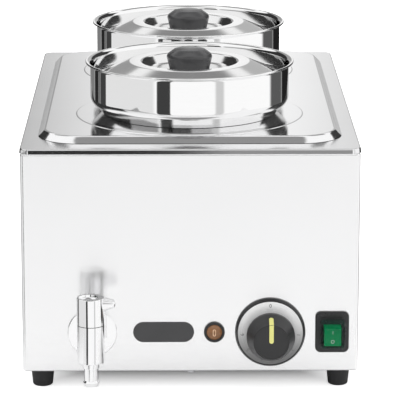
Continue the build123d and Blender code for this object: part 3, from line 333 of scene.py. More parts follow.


# each surface: tint is the share by which its colour varies each way, spread the range of its roughness,
# depth its bump in millimetres and centre the point in millimetres that its rings go round. The heights of
# paintedHalfShade and smoothBelow are in metres
surfaces = {
    "panel": {
        "label": "brushedPanel", "effect": "brush", "pattern": {"Stretch": (14, 14, 1500)},
        "colour": (0.975, 0.975, 0.98), "tint": 0.015, "rough": 0.2, "spread": 0.04, "metal": 1.0,
        "depth": 0.006, "shader": {"Anisotropic": 0.7, "Anisotropic Rotation": 0.25},
    },
    "side": {
        "label": "brushedSide", "effect": "brush", "pattern": {"Stretch": (14, 14, 1500)},
        "colour": (0.95, 0.95, 0.955), "tint": 0.02, "rough": 0.3, "spread": 0.05, "metal": 1.0,
        "depth": 0.012,
    },
    "deck": {
        "label": "satinDeck", "effect": "brush", "pattern": {"Stretch": (14, 900, 900)},
        "colour": (0.88, 0.88, 0.885), "tint": 0.02, "rough": 0.18, "spread": 0.05, "metal": 1.0,
        "depth": 0.006, "smoothBelow": {"height": 0.2476, "soft": 0.0003, "rough": 0.07},
    },
    "plate": {
        "label": "pressedPlate", "effect": "brush", "pattern": {"Stretch": (10, 700, 700)},
        "colour": (0.93, 0.93, 0.935), "tint": 0.015, "rough": 0.1, "spread": 0.03, "metal": 1.0,
        "depth": 0.003,
    },
    "polish": {
        "label": "polishedPot", "effect": "brush", "pattern": {"Stretch": (60, 60, 900)},
        "colour": (0.96, 0.96, 0.96), "tint": 0.01, "rough": 0.045, "spread": 0.02, "metal": 1.0,
        "depth": 0.001,
    },
    "lid": {
        "label": "polishedLid", "effect": "spun", "pattern": {"Flatten": (1, 1, 0), "Rings": 1500.0},
        "colour": (0.86, 0.86, 0.86), "tint": 0.01, "rough": 0.13, "spread": 0.04, "metal": 1.0,
        "depth": 0.001,
    },
    "base": {
        "label": "millSheet", "effect": "brush", "pattern": {"Stretch": (20, 700, 700)},
        "colour": (0.55, 0.55, 0.56), "tint": 0.05, "rough": 0.42, "spread": 0.1, "metal": 1.0,
        "depth": 0.01,
    },
    "zinc": {
        "label": "brightScrew", "effect": "grain",
        "colour": (0.62, 0.62, 0.64), "tint": 0.08, "rough": 0.3, "spread": 0.15, "metal": 1.0,
        "depth": 0.004,
    },
    "chrome": {
        "label": "brightChrome", "effect": "grain", "pattern": {"Size": 300.0, "Patch": 30.0},
        "colour": (0.95, 0.95, 0.955), "tint": 0.01, "rough": 0.04, "spread": 0.03, "metal": 1.0,
        "depth": 0.0006,
    },
    "brass": {
        "label": "turnedBrass", "effect": "spun", "pattern": {"Rings": 1800.0}, "centre": (-98.7, -296, 60),
        "colour": (0.7, 0.52, 0.26), "tint": 0.08, "rough": 0.28, "spread": 0.15, "metal": 1.0,
        "depth": 0.004,
    },
    "rubber": {
        "label": "footRubber", "effect": "grain",
        "colour": (0.012, 0.012, 0.013), "tint": 0.3, "rough": 0.6, "spread": 0.2, "metal": 0.0,
        "depth": 0.03,
    },
    "silicone": {
        "label": "drainSilicone", "effect": "grain",
        "colour": (0.72, 0.7, 0.66), "tint": 0.06, "rough": 0.45, "spread": 0.1, "metal": 0.0,
        "depth": 0.01,
    },
    "fibre": {
        "label": "fibreRing", "effect": "grain",
        "colour": (0.35, 0.1, 0.06), "tint": 0.2, "rough": 0.8, "spread": 0.1, "metal": 0.0, "depth": 0.03,
    },
    "aluminium": {
        "label": "rolledAluminium", "effect": "brush", "pattern": {"Stretch": (20, 800, 800)},
        "colour": (0.7, 0.7, 0.71), "tint": 0.05, "rough": 0.35, "spread": 0.1, "metal": 1.0,
        "depth": 0.008,
    },
    "sheath": {
        "label": "dullSheath", "effect": "grain",
        "colour": (0.2, 0.19, 0.185), "tint": 0.2, "rough": 0.45, "spread": 0.2, "metal": 1.0,
        "depth": 0.01,
    },
    "copper": {
        "label": "bulbCopper", "effect": "brush", "pattern": {"Stretch": (900, 40, 900)},
        "colour": (0.72, 0.4, 0.26), "tint": 0.12, "rough": 0.3, "spread": 0.15, "metal": 1.0,
        "depth": 0.004,
    },
    "blackCase": {
        "label": "blackMoulding", "effect": "grain",
        "colour": (0.018, 0.018, 0.019), "tint": 0.25, "rough": 0.45, "spread": 0.15, "metal": 0.0,
        "depth": 0.01,
    },
    "whiteBlock": {
        "label": "whiteMoulding", "effect": "grain",
        "colour": (0.78, 0.78, 0.75), "tint": 0.05, "rough": 0.5, "spread": 0.1, "metal": 0.0,
        "depth": 0.01,
    },
    "lidKnob": {
        "label": "satinKnob", "effect": "grain",
        "colour": (0.055, 0.055, 0.057), "tint": 0.2, "rough": 0.24, "spread": 0.1, "metal": 0.0,
        "depth": 0.008,
    },
    "dialKnob": {
        "label": "dialBlack", "effect": "grain",
        "colour": (0.02, 0.02, 0.021), "tint": 0.2, "rough": 0.42, "spread": 0.1, "metal": 0.0,
        "depth": 0.012,
    },
    "bezel": {
        "label": "bezelBlack", "effect": "grain",
        "colour": (0.015, 0.015, 0.016), "tint": 0.2, "rough": 0.3, "spread": 0.1, "metal": 0.0,
        "depth": 0.006,
    },
    "ring": {
        "label": "spunRing", "effect": "spun", "pattern": {"Rings": 2400.0}, "centre": (80.2, -251, 60),
        "colour": (0.97, 0.97, 0.97), "tint": 0.02, "rough": 0.3, "spread": 0.08, "metal": 0.2,
        # painted shade on the ring: its colour darkens towards the lower half, where the knob's shadow would
        # fall
        "depth": 0.012, "paintedHalfShade": {"reach": 0.03, "low": 0.2, "high": 1.0},
    },
    "yellow": {
        "label": "pointerYellow", "effect": "grain",
        "colour": (0.74, 0.72, 0.24), "tint": 0.05, "rough": 0.4, "spread": 0.1, "metal": 0.0,
        "depth": 0.004,
    },
    "green": {
        "label": "rockerGreen", "effect": "grain",
        "colour": (0.0, 0.25, 0.08), "tint": 0.1, "rough": 0.3, "spread": 0.1, "metal": 0.0, "depth": 0.004,
        "shader": {"Specular IOR Level": 0.15},
    },
    "amber": {
        "label": "amberLens", "effect": "grain", "pattern": {"Size": 500.0},
        "colour": (0.27, 0.13, 0.06), "tint": 0.15, "rough": 0.15, "spread": 0.05, "metal": 0.0,
        "depth": 0.01,
    },
    "ink": {
        "label": "printedInk", "effect": "grain",
        "colour": (0.12, 0.12, 0.12), "tint": 0.1, "rough": 0.5, "spread": 0.1, "metal": 0.0,
        "depth": 0.002,
    },
    "paleInk": {
        "label": "palePrint", "effect": "grain",
        "colour": (0.75, 0.85, 0.8), "tint": 0.05, "rough": 0.5, "spread": 0.1, "metal": 0.0,
        "depth": 0.002,
    },
    "filament": {
        "label": "lampInside", "effect": "grain",
        "colour": (0.9, 0.62, 0.4), "tint": 0.05, "rough": 0.25, "spread": 0.1, "metal": 0.0,
        "depth": 0.002,
    },
    "badge": {
        "label": "bareBadge", "effect": "grain",
        "colour": (0.05, 0.05, 0.052), "tint": 0.1, "rough": 0.4, "spread": 0.1, "metal": 0.0,
        "depth": 0.006,
    },
}
# depth in millimetres; clear and edge are how solid the hood looks face on and at its edges
hoodClear = {
    "dark": (0.02, 0.05, 0.04, 1), "light": (0.03, 0.07, 0.055, 1), "rough": 0.08, "ripple": 120.0,
    "depth": 0.02, "facing": 0.25, "clear": 0.06, "edge": 0.9,
}


def makeHoodClear(p):
    # thin clear skin: mostly see-through, more solid towards its edges, faintly green, with slight ripples
    material = bpy.data.materials.new("hoodClear")
    tree = newTree(material)
    place = put(tree, "TexCoord").outputs["Object"]
    effect = put(tree, "Group", {"node_tree": effects["grain"]}, Place=place, Size=p["ripple"])
    lines, patches = effect.outputs["Lines"], effect.outputs["Patches"]
    bump = put(tree, "Bump", Strength=1.0, Distance=p["depth"] * mm, Height=lines).outputs[0]
    tone = mixColours(tree, patches, p["dark"], p["light"])
    facing = put(tree, "LayerWeight", i0=p["facing"]).outputs["Facing"]
    alpha = ramp(tree, facing, 0.0, 1.0, p["clear"], p["edge"])
    shader = put(tree, "BsdfPrincipled", Base_Color=tone, Roughness=p["rough"], Alpha=alpha, Normal=bump)
    put(tree, "OutputMaterial", Surface=shader.outputs[0])
    return material


finishes = {key: makeFinish(values) for key, values in surfaces.items()}
finishes["hood"] = makeHoodClear(hoodClear)
print("finishes", len(finishes))


# pieces taken over from the solids, with merged points so that they shade smoothly

# merge is in metres. Faces share a flat region where their normals agree to 1/leanSteps and their planes to
# 1/shiftSteps of a metre. Areas are counted in square millimetres
evenShade = {
    "merge": 0.000002, "angleDeg": 32, "leanSteps": 400, "shiftSteps": 20000, "areaUnits": 1e6,
    "leastWeight": 1e-12,
}
# added to a length so that it can be divided by
tiny = 1e-30


def finishPiece(obj, body, finish):
    obj.data.materials.clear()
    obj.data.materials.append(finishes[finish])
    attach(obj, body)


def mergePoints(mesh, distance, turnOut=False):
    # points nearer than distance become one, and then the faces are turned outwards where asked
    work = bmesh.new()
    work.from_mesh(mesh)
    bmesh.ops.remove_doubles(work, verts=work.verts, dist=distance)
    if turnOut:
        bmesh.ops.recalc_face_normals(work, faces=work.faces)
    work.to_mesh(mesh)
    work.free()


def readFaces(mesh, name, wide, kind=float):
    values = np.empty(len(mesh.polygons) * wide, kind)
    mesh.polygons.foreach_get(name, values)
    return values.reshape(-1, wide) if wide > 1 else values


def evenNormals(mesh, p):
    # each corner's normal is the mean of the faces round its point that lean less than angleDeg from its own
    # face; a face counts by the square of the area of the flat region it is in, so flat sheets stay flat to
    # their edges
    cornerPoint = np.empty(len(mesh.loops), int)
    mesh.loops.foreach_get("vertex_index", cornerPoint)
    normals, middles = readFaces(mesh, "normal", 3), readFaces(mesh, "center", 3)
    shift = (normals * middles).sum(1)[:, None]
    planes = np.round(np.hstack([normals * p["leanSteps"], shift * p["shiftSteps"]])).astype(int)
    _, region = np.unique(planes, axis=0, return_inverse=True)
    region = region.ravel()
    weight = (np.bincount(region, readFaces(mesh, "area", 1))[region] * p["areaUnits"]) ** 2
    weight += p["leastWeight"]
    cornerFace = np.repeat(np.arange(len(mesh.polygons)), readFaces(mesh, "loop_total", 1, int))
    order = np.argsort(cornerPoint, kind="stable")
    points, faces = cornerPoint[order], cornerFace[order]
    total = normals[faces] * weight[faces][:, None]
    limit = math.cos(math.radians(p["angleDeg"]))
    # corners of one point stand side by side in this order, so each is compared with those a few steps on
    for step in range(1, int(np.bincount(points).max())):
        one = np.nonzero(points[:-step] == points[step:])[0]
        two = one + step
        near = (normals[faces[one]] * normals[faces[two]]).sum(1) > limit
        one, two = one[near], two[near]
        np.add.at(total, one, normals[faces[two]] * weight[faces[two]][:, None])
        np.add.at(total, two, normals[faces[one]] * weight[faces[one]][:, None])
    split = np.empty((len(mesh.loops), 3))
    split[order] = total / (np.linalg.norm(total, axis=1)[:, None] + tiny)
    mesh.normals_split_custom_set(split.tolist())


def smoothCopy(node, body, finish, p):
    mesh = nodes[node].data.copy()
    mesh.name = node + "_smooth"
    mergePoints(mesh, p["merge"])
    if "custom_normal" in mesh.attributes:
        mesh.attributes.remove(mesh.attributes["custom_normal"])
    mesh.polygons.foreach_set("use_smooth", np.ones(len(mesh.polygons), bool))
    evenNormals(mesh, p)
    obj = newObject(node + "_smooth", mesh)
    finishPiece(obj, body, finish)
    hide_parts(node)


# new surfaces

# points of a new piece nearer than this many metres are one
sameSpot = 0.0000005
# half a corner's angle in radians, between which it gets an arc
foldedHalf, straightHalf = 0.01, 1.56


def roundedLine(points, radii, steps=12):
    # a polyline whose inner corners are arcs: each arc touches both runs at radius / tan(half the corner's
    # angle), and a corner that is nearly straight or folded back stays a point
    points = [np.array(point, float) for point in points]
    out = [points[0][None]]
    for before, here, after, radius in zip(points, points[1:], points[2:], radii):
        a = (before - here) / np.linalg.norm(before - here)
        b = (after - here) / np.linalg.norm(after - here)
        half = math.acos(max(-1.0, min(1.0, float(a @ b)))) / 2
        if radius <= 0 or half < foldedHalf or half > straightHalf:
            out.append(here[None])
            continue
        middle = here + (a + b) / np.linalg.norm(a + b) * radius / math.sin(half)
        start = here + a * radius / math.tan(half) - middle
        end = here + b * radius / math.tan(half) - middle
        share = np.linspace(0, 1, steps)[:, None]
        bend = math.pi - 2 * half
        arc = (np.sin((1 - share) * bend) * start + np.sin(share * bend) * end) / math.sin(bend)
        out.append(middle + arc)
    out.append(points[-1][None])
    return np.vstack(out)


def besideLine(line, distance):
    # the same line moved to its left: each point goes along the mean of its two runs' normals, by distance
    # over the cosine of half the bend there, and never by more than twice the distance
    runs = np.diff(line, axis=0)
    runs /= np.linalg.norm(runs, axis=1)[:, None] + tiny
    ahead, behind = np.vstack([runs, runs[-1:]]), np.vstack([runs[:1], runs])
    mean = ahead + behind
    mean /= np.linalg.norm(mean, axis=1)[:, None]
    normal = np.stack([-mean[:, 1], mean[:, 0]], 1)
    spread = np.clip((mean * ahead).sum(1), 0.5, 1.0)
    return line + normal * (distance / spread)[:, None]


def fullTurn(steps):
    return np.arange(steps) / steps * 2 * math.pi


def gridFaces(rows, columns, rowsClose=False):
    # four-sided faces between neighbouring rows of a grid whose columns close into a ring, and its rows too
    # where asked: a point's number is its row times columns plus its column
    r = np.arange(rows if rowsClose else rows - 1)[:, None]
    c = np.arange(columns)[None]
    below, above = r * columns, ((r + 1) % rows) * columns
    following = (c + 1) % columns
    corners = [below + c, below + following, above + following, above + c]
    return np.stack(corners, -1).reshape(-1, 4).tolist()


def meshPiece(name, points, faces, body, finish, sharpDeg, slotName=None, stands=(), weighted=False):
    mesh = bpy.data.meshes.new(name)
    mesh.from_pydata((points * mm).tolist(), [], faces)
    mergePoints(mesh, sameSpot, turnOut=True)
    mesh.polygons.foreach_set("use_smooth", np.ones(len(mesh.polygons), bool))
    mesh.set_sharp_from_angle(angle=math.radians(sharpDeg))
    obj = newObject(name, mesh)
    if weighted:
        even = obj.modifiers.new("evenShade", "WEIGHTED_NORMAL")
        even.keep_sharp = True
    finishPiece(obj, body, finish)
    if stands:
        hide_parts(*stands)


def turnedPiece(name, line, centre, turns, rowsClose=False, upright=True, **dress):
    # every point of a line of radius and height carried round an axis: radius times the cosine and sine of
    # the turn, with the height going up, or out of the panel where it isn't upright
    turn = fullTurn(turns)
    radius, along = line[:, 0][:, None], np.repeat(line[:, 1][:, None], turns, 1)
    one, two = centre[0] + radius * np.cos(turn), centre[1] + radius * np.sin(turn)
    points = [one, two, along] if upright else [one, layout["frontY"] - along, two]
    meshPiece(name, np.stack(points, -1).reshape(-1, 3), gridFaces(len(line), turns, rowsClose), **dress)


# pots, lids and knobs, in millimetres

pot = {
    "bodyR": 88.3, "wallR": 103.0, "rimR": 108.0, "holeR": 90.0, "wall": 0.8, "seatGap": 0.3,
    "floorBend": 14.0, "neckBend": 0.8, "shoulderBend": 11.0, "flareBend": 4.4,
    "beadR": 1.1, "beadFromDeg": 100, "beadToDeg": -150, "beadSteps": 14, "turns": 240, "sharpDeg": 50,
}
lid = {
    "wall": 0.8, "gap": 2.2, "edgeDrop": 16.8, "crownR": 63.0, "crownDrop": 1.2, "bowlR": 50.0,
    "bowlRun": 6.0, "bowlDepth": 9.6, "bend": 3.0, "turns": 200, "sharpDeg": 50,
}
# the corner at wideR is rounded off, so the widest point stays inside the solid's 23.6
lidKnob = {
    "footR": 20.4, "wideR": 24.15, "wideAt": 16.0, "crownR": 16.0, "crownAt": 21.8, "high": 24.0,
    "footRound": 1.2, "wideRound": 4.5, "domeSteps": 16, "turns": 120, "sharpDeg": 50,
}
# the pot hangs by a shoulder at 45 degrees, seatGap from the edge of its hole
shoulderR = pot["holeR"] - pot["seatGap"] * math.sqrt(2)
wallFoot = layout["seatZ"] + pot["wallR"] - shoulderR


def makePot(place, y, p):
    # half the section of a sheet of one thickness, from the middle of the floor out and up, carried round
    bodyTop = layout["seatZ"] - (shoulderR - p["bodyR"])
    rimTop = layout["rimZ"] - p["wall"]
    outside = roundedLine(
        [(0, layout["potZ"]), (p["bodyR"], layout["potZ"]), (p["bodyR"], bodyTop), (p["wallR"], wallFoot),
         (p["wallR"], rimTop), (p["rimR"], rimTop)],
        [p["floorBend"], p["neckBend"], p["shoulderBend"], p["flareBend"]],
    )
    inside = besideLine(outside, p["wall"])
    inside[0, 0] = 0
    # the rim ends in a small rolled bead: an arc that leaves the inside and comes back under the outside
    turn = np.linspace(math.radians(p["beadFromDeg"]), math.radians(p["beadToDeg"]), p["beadSteps"])
    beadAcross = p["rimR"] - p["beadR"] + p["beadR"] * np.cos(turn)
    beadUp = layout["rimZ"] - p["beadR"] + p["beadR"] * np.sin(turn)
    line = np.vstack([outside[:-1], np.stack([beadAcross, beadUp], 1)[::-1], inside[::-1][1:]])
    turnedPiece(place + "_pot_polished", line, (0, y), p["turns"], body=place + "_vessel", finish="polish",
                slotName="pot_steel", stands=(place + "_pot",), sharpDeg=p["sharpDeg"])


def makeLid(place, y, p, k):
    # the lid is a sheet too: skirt, slope, crown and sunk bowl. Its skirt stands on the pot's inner shoulder
    skirtR = pot["wallR"] - pot["wall"] - p["gap"]
    skirtZ = wallFoot - (pot["wallR"] - skirtR) + (pot["wall"] + pot["seatGap"]) * math.sqrt(2)
    crownZ = layout["rimZ"] - p["crownDrop"]
    bowlZ = crownZ - p["bowlDepth"]
    outside = roundedLine(
        [(skirtR, skirtZ), (skirtR, layout["rimZ"] - p["edgeDrop"]), (p["crownR"], crownZ),
         (p["bowlR"], crownZ), (p["bowlR"] - p["bowlRun"], bowlZ), (0, bowlZ)],
        [p["bend"], 2 * p["bend"], p["bend"], p["bend"]],
    )
    inside = besideLine(outside, p["wall"])
    inside[-1, 0] = 0
    turnedPiece(place + "_lid_polished", np.vstack([outside, inside[::-1]]), (0, y), p["turns"],
                rowsClose=True, body=place + "_cover", finish="lid", slotName="pot_steel",
                stands=(place + "_lid",), sharpDeg=p["sharpDeg"])

    side = roundedLine(
        [(0, bowlZ), (k["footR"], bowlZ), (k["wideR"], bowlZ + k["wideAt"]),
         (k["crownR"], bowlZ + k["crownAt"])],
        [k["footRound"], k["wideRound"]],
    )
    # the crown is part of a ball that is level in the middle and meets the side: its radius is the sum of the
    # squares of reach and drop over twice the drop
    end, high = side[-1], bowlZ + k["high"]
    drop = high - end[1]
    ballR = (end[0] ** 2 + drop ** 2) / (2 * drop)
    turn = np.linspace(math.asin(end[0] / ballR), 0, k["domeSteps"])[1:]
    dome = np.stack([ballR * np.sin(turn), high - ballR + ballR * np.cos(turn)], 1)
    turnedPiece(place + "_knob_moulded", np.vstack([side, dome]), (0, y), k["turns"],
                body=place + "_cover", finish="lidKnob", slotName="knob_plastic",
                stands=(place + "_lid_knob",), sharpDeg=k["sharpDeg"])


# the low bead pressed into the plate round each pot: radius and height above the top of the plate
bead = {
    "plateZ": 255.4, "line": [(118.6, -0.15), (117.2, 0.45), (115.8, 0.45), (114.4, -0.15)], "round": 0.8,
    "steps": 5, "turns": 200, "sharpDeg": 60,
}


def makeBead(place, y, b):
    over = roundedLine([(r, b["plateZ"] + up) for r, up in b["line"]], [b["round"], b["round"]], b["steps"])
    turnedPiece(place + "_plate_bead", over, (0, y), b["turns"], rowsClose=True, body="plate",
                finish="plate", sharpDeg=b["sharpDeg"])


for place, y in potPlaces.items():
    makePot(place, y, pot)
    makeBead(place, y, bead)
    makeLid(place, y, lid, lidKnob)
print("pots and lids")


# badge place, left bare. Its edge is rounded in two steps, softShare of it in the first

badge = {
    "x": -27.05, "z": 60.05, "wide": 61.3, "high": 20.9, "corner": 10.449, "thick": 1.2, "edge": 0.5,
    "softShare": 0.3, "steps": 14, "sharpDeg": 35,
}


def roundedRing(halfWide, halfHigh, corner, inset, steps):
    # a rectangle with round corners, moved in by inset: each corner's arc keeps its centre
    turn = np.linspace(0, math.pi / 2, steps)
    radius = corner - inset
    quarters = []
    for number, (sideX, sideY) in enumerate(((1, 1), (-1, 1), (-1, -1), (1, -1))):
        at = turn + number * math.pi / 2
        middle = (sideX * (halfWide - corner), sideY * (halfHigh - corner))
        quarters.append(np.stack([middle[0] + radius * np.cos(at), middle[1] + radius * np.sin(at)], 1))
    return np.vstack(quarters)


def makeBadge(b):
    # rounded rings, each with its inset and its distance out of the panel, joined and closed at both ends
    soft = b["edge"] * b["softShare"]
    levels = [(0, 0), (0, b["thick"] - b["edge"]), (soft, b["thick"] - soft), (b["edge"], b["thick"])]
    rings = []
    for inset, out in levels:
        ring = roundedRing(b["wide"] / 2, b["high"] / 2, b["corner"], inset, b["steps"])
        level = np.full(len(ring), layout["frontY"] - out)
        rings.append(np.stack([b["x"] + ring[:, 0], level, b["z"] + ring[:, 1]], 1))
    columns = len(rings[0])
    last = (len(rings) - 1) * columns
    ends = [list(range(columns))[::-1], list(range(last, last + columns))]
    faces = gridFaces(len(rings), columns) + ends
    meshPiece("badge_plate", np.vstack(rings), faces, "cabinet", "badge", b["sharpDeg"], weighted=True)


makeBadge(badge)


# dial knob and its pointer: each pair is a distance from the dial's middle and a distance out of the panel

dial = {
    "skirt": [(3.05, 27.05), (3.05, 5.9), (20.6, 5.9), (24.3, 16.0), (24.3, 20.6), (18.2, 37.4),
              (17.9, 38.5), (16.9, 38.6), (16.5, 38.1), (0, 38.1)],
    "bends": [0, 2.0, 2.0, 2.0, 0.8, 0.3, 0.3, 0.4], "bendSteps": 8, "turns": 160, "sharpDeg": 40,
}
pointer = {
    "strip": [(22.35, 26.9), (18.55, 37.4), (17.3, 38.95), (15.0, 38.8), (-1.1, 38.8)],
    "bends": [0.8, 0.8, 1.0], "bendSteps": 6, "endSteps": 8, "wide": 4.4, "thick": 0.8, "edge": 0.15,
    "sharpDeg": 30,
}
dialMiddle = (layout["dialX"], layout["controlZ"])


def makeDial(p):
    side = roundedLine([(0, p["skirt"][0][1])] + p["skirt"], [0] + p["bends"], p["bendSteps"])
    turnedPiece("dial_knob_moulded", side, dialMiddle, p["turns"], upright=False, body="dial",
                finish="dialKnob", slotName="knob_plastic", stands=("dial_knob",), sharpDeg=p["sharpDeg"])


def makePointer(p):
    # the pointer follows the knob's side: rings of six points, half the strip's width to each side and near
    # its ends the height of a half circle
    track = roundedLine(p["strip"], p["bends"], p["bendSteps"])
    away = np.concatenate([[0], np.cumsum(np.linalg.norm(np.diff(track, axis=0), axis=1))])
    half, whole = p["wide"] / 2, away[-1]
    ends = half * (1 - np.cos(np.linspace(0, math.pi / 2, p["endSteps"])))
    at = np.unique(np.concatenate([ends, whole - ends, away[(away > half) & (away < whole - half)]]))
    run = np.stack([np.interp(at, away, track[:, 0]), np.interp(at, away, track[:, 1])], 1)
    under = besideLine(run, p["thick"])
    soft = besideLine(run, p["edge"])
    short = np.clip(np.minimum(at, whole - at), 0, half)
    wide = np.sqrt(np.maximum(0, half ** 2 - (half - short) ** 2))
    inner = np.maximum(0, wide - p["edge"])
    lines = ((under, -wide), (soft, -wide), (run, -inner), (run, inner), (soft, wide), (under, wide))
    points = np.stack([
        np.stack([dialMiddle[0] + share, layout["frontY"] - line[:, 1], dialMiddle[1] + line[:, 0]], 1)
        for line, share in lines
    ], 1)
    meshPiece("dial_pointer_strip", points.reshape(-1, 3), gridFaces(len(run), len(lines)), "dial", "yellow",
              p["sharpDeg"], "pointer_yellow", ("dial_pointer",))


makeDial(dial)
makePointer(pointer)


# tap head: a round head with a shallow hollow set off its middle, and a lever to the side

tapHead = {
    "r": 13.65, "foot": 81.3, "top": 109.0, "edge": 0.35, "stemR": 6.0, "stemTop": 87.0,
    "hollowR": 9.6, "hollowFloorR": 8.9, "hollowShift": -2.4, "hollowDepth": 2.2, "hollowEdge": 0.3,
    "hollowEdgeIn": 0.15, "hollowFloorIn": 0.5, "turns": 96, "sharpDeg": 30,
}
# from and to are counted from the tap's axis; straight is the share of the lever before its round tip
tapLever = {
    "from": 9.0, "to": 25.0, "rootTop": 108.7, "tipTop": 105.2, "rootFoot": 93.5, "tipFoot": 99.4,
    "rootHalf": 7.0, "tipHalf": 5.3, "topPower": 1.6, "footPower": 0.8, "ringPower": 2 / 3,
    "straight": 0.82, "straightSteps": 14, "tipStart": 0.12, "tipSteps": 9, "turns": 48, "sharpDeg": 50,
}


def makeTapHead(p):
    # rings one above the other, each with its shift to the side, its radius and its height
    inner, shifted = p["r"] - p["edge"], p["hollowShift"]
    floor = p["top"] - p["hollowDepth"]
    levels = [
        (0, 0, p["stemTop"]), (0, p["stemR"], p["stemTop"]), (0, p["stemR"], p["foot"]),
        (0, inner, p["foot"]), (0, p["r"], p["foot"] + p["edge"]), (0, p["r"], p["top"] - p["edge"]),
        (0, inner, p["top"]), (shifted, p["hollowR"], p["top"]),
        (shifted, p["hollowR"] - p["hollowEdgeIn"], p["top"] - p["hollowEdge"]),
        (shifted, p["hollowFloorR"], floor + p["hollowEdge"]),
        (shifted, p["hollowFloorR"] - p["hollowFloorIn"], floor), (shifted, 0, floor),
    ]
    turn = fullTurn(p["turns"])
    shift, r, z = np.array(levels, float).T[:, :, None]
    x, y = layout["tapX"] + shift + r * np.cos(turn), layout["tapY"] + r * np.sin(turn)
    points = np.stack(np.broadcast_arrays(x, y, z), -1).reshape(-1, 3)
    meshPiece("tap_head_turned", points, gridFaces(len(levels), p["turns"]), "tap_lever", "chrome",
              p["sharpDeg"], "tap_chrome", ("tap_head",))


def makeTapLever(p):
    # rounded rings along the lever: cosine and sine raised to ringPower, between a top and a foot that bend
    # with their own powers of the way along, closing in a half round at the tip
    tip = np.linspace(p["tipStart"], math.pi / 2, p["tipSteps"])
    straight = np.linspace(0, p["straight"], p["straightSteps"])
    t = np.concatenate([straight, p["straight"] + (1 - p["straight"]) * np.sin(tip)])[:, None]
    size = np.concatenate([np.ones(p["straightSteps"]), np.cos(tip)])[:, None]
    size[-1] = 0
    top = p["rootTop"] + (p["tipTop"] - p["rootTop"]) * t ** p["topPower"]
    foot = p["rootFoot"] + (p["tipFoot"] - p["rootFoot"]) * t ** p["footPower"]
    half = p["rootHalf"] + (p["tipHalf"] - p["rootHalf"]) * t
    turn = fullTurn(p["turns"])
    one = np.sign(np.cos(turn)) * np.abs(np.cos(turn)) ** p["ringPower"]
    two = np.sign(np.sin(turn)) * np.abs(np.sin(turn)) ** p["ringPower"]
    x = layout["tapX"] + (p["from"] + (p["to"] - p["from"]) * t)
    y = layout["tapY"] + half * size * one
    z = (top + foot) / 2 + (top - foot) / 2 * size * two
    points = np.stack(np.broadcast_arrays(x, y, z), -1).reshape(-1, 3)
    faces = gridFaces(len(t), p["turns"]) + [list(range(p["turns"]))]
    meshPiece("tap_lever_moulded", points, faces, "tap_lever", "chrome", p["sharpDeg"], "tap_chrome")


makeTapHead(tapHead)
makeTapLever(tapLever)
print("badge, dial and tap head")


# marks on the dial's ring and the rocker: lift is how far a mark's middle stands off its face

marks = {
    "ringR": 28.4, "ringFace": 5.1, "lift": 0.02, "size": 5.2, "thick": 0.06, "body": "cabinet",
    "finish": "ink",
    "turnsDeg": {"0": 0, "1": 94, "2": 128, "3": 162.5, "4": 196.5, "5": 232, "6": 267},
}
# the rocker's face lies arm from its axis, which lies in behind the panel, and is hollow between its ends
signs = {
    "in": 3.0, "arm": 18.0, "tiltDeg": 6.0, "hollow": 1.0, "halfHigh": 9.3, "lift": 0.04, "size": 5.0,
    "thick": 0.06, "body": "rocker", "finish": "paleInk",
    "words": {"rocker_sign_on": ("I", 4.9), "rocker_sign_off": ("O", -4.9)},
}


def printedMark(name, words, centre, out, turnDeg, leanDeg, p):
    # a figure laid on a face that looks to the front, turned clockwise about its own middle, its top leaning
    # out by leanDeg: both turns are cosine and sine sums of its own coordinates
    curve = bpy.data.curves.new(name, "FONT")
    curve.body = words
    curve.size = p["size"] * mm
    curve.align_x = "CENTER"
    curve.align_y = "CENTER"
    curve.extrude = p["thick"] * mm / 2
    draft = newObject(name + "_draft", curve)
    bpy.context.view_layer.update()
    mesh = bpy.data.meshes.new_from_object(draft)
    bpy.data.objects.remove(draft)
    points = np.empty(len(mesh.vertices) * 3)
    mesh.vertices.foreach_get("co", points)
    points = points.reshape(-1, 3)
    points[:, :2] -= (points[:, :2].max(0) + points[:, :2].min(0)) / 2
    turn, lean = -math.radians(turnDeg), math.radians(leanDeg)
    across = points[:, 0] * math.cos(turn) - points[:, 1] * math.sin(turn)
    level = points[:, 0] * math.sin(turn) + points[:, 1] * math.cos(turn)
    up = level * math.cos(lean) - points[:, 2] * math.sin(lean)
    proud = points[:, 2] * math.cos(lean) + level * math.sin(lean)
    placed = [centre[0] * mm + across, (layout["frontY"] - out) * mm - proud, centre[1] * mm + up]
    mesh.vertices.foreach_set("co", np.stack(placed, 1).ravel())
    mesh.name = name
    finishPiece(newObject(name, mesh), p["body"], p["finish"])


def dialMark(figure, turnDeg, p):
    turn = math.radians(turnDeg)
    middle = (dialMiddle[0] + p["ringR"] * math.sin(turn), dialMiddle[1] + p["ringR"] * math.cos(turn))
    printedMark("dial_mark_" + figure, figure, middle, p["ringFace"] + p["lift"], turnDeg, 0, p)


def rockerSign(name, words, along, p):
    # laid on the rocker's face: a parabola, hollow deep between its two ends, turned back by the tilt
    tilt = math.radians(p["tiltDeg"])
    dip = p["hollow"] * (1 - (along / p["halfHigh"]) ** 2)
    reach = p["arm"] - dip + p["lift"]
    out = -p["in"] + reach * math.cos(tilt) + along * math.sin(tilt)
    up = -reach * math.sin(tilt) + along * math.cos(tilt)
    leanDeg = p["tiltDeg"] + math.degrees(math.atan(2 * p["hollow"] * along / p["halfHigh"] ** 2))
    printedMark(name, words, (layout["switchX"], layout["controlZ"] + up), out, 0, leanDeg, p)


for figure, turnDeg in marks["turnsDeg"].items():
    dialMark(figure, turnDeg, marks)
for name, (words, along) in signs["words"].items():
    rockerSign(name, words, along, signs)

# the loop inside the pilot lamp
lamp = {"out": 4.05, "high": 6.4, "wide": 2.4, "bar": 0.75, "turns": 48, "barTurns": 10, "sharpDeg": 35}


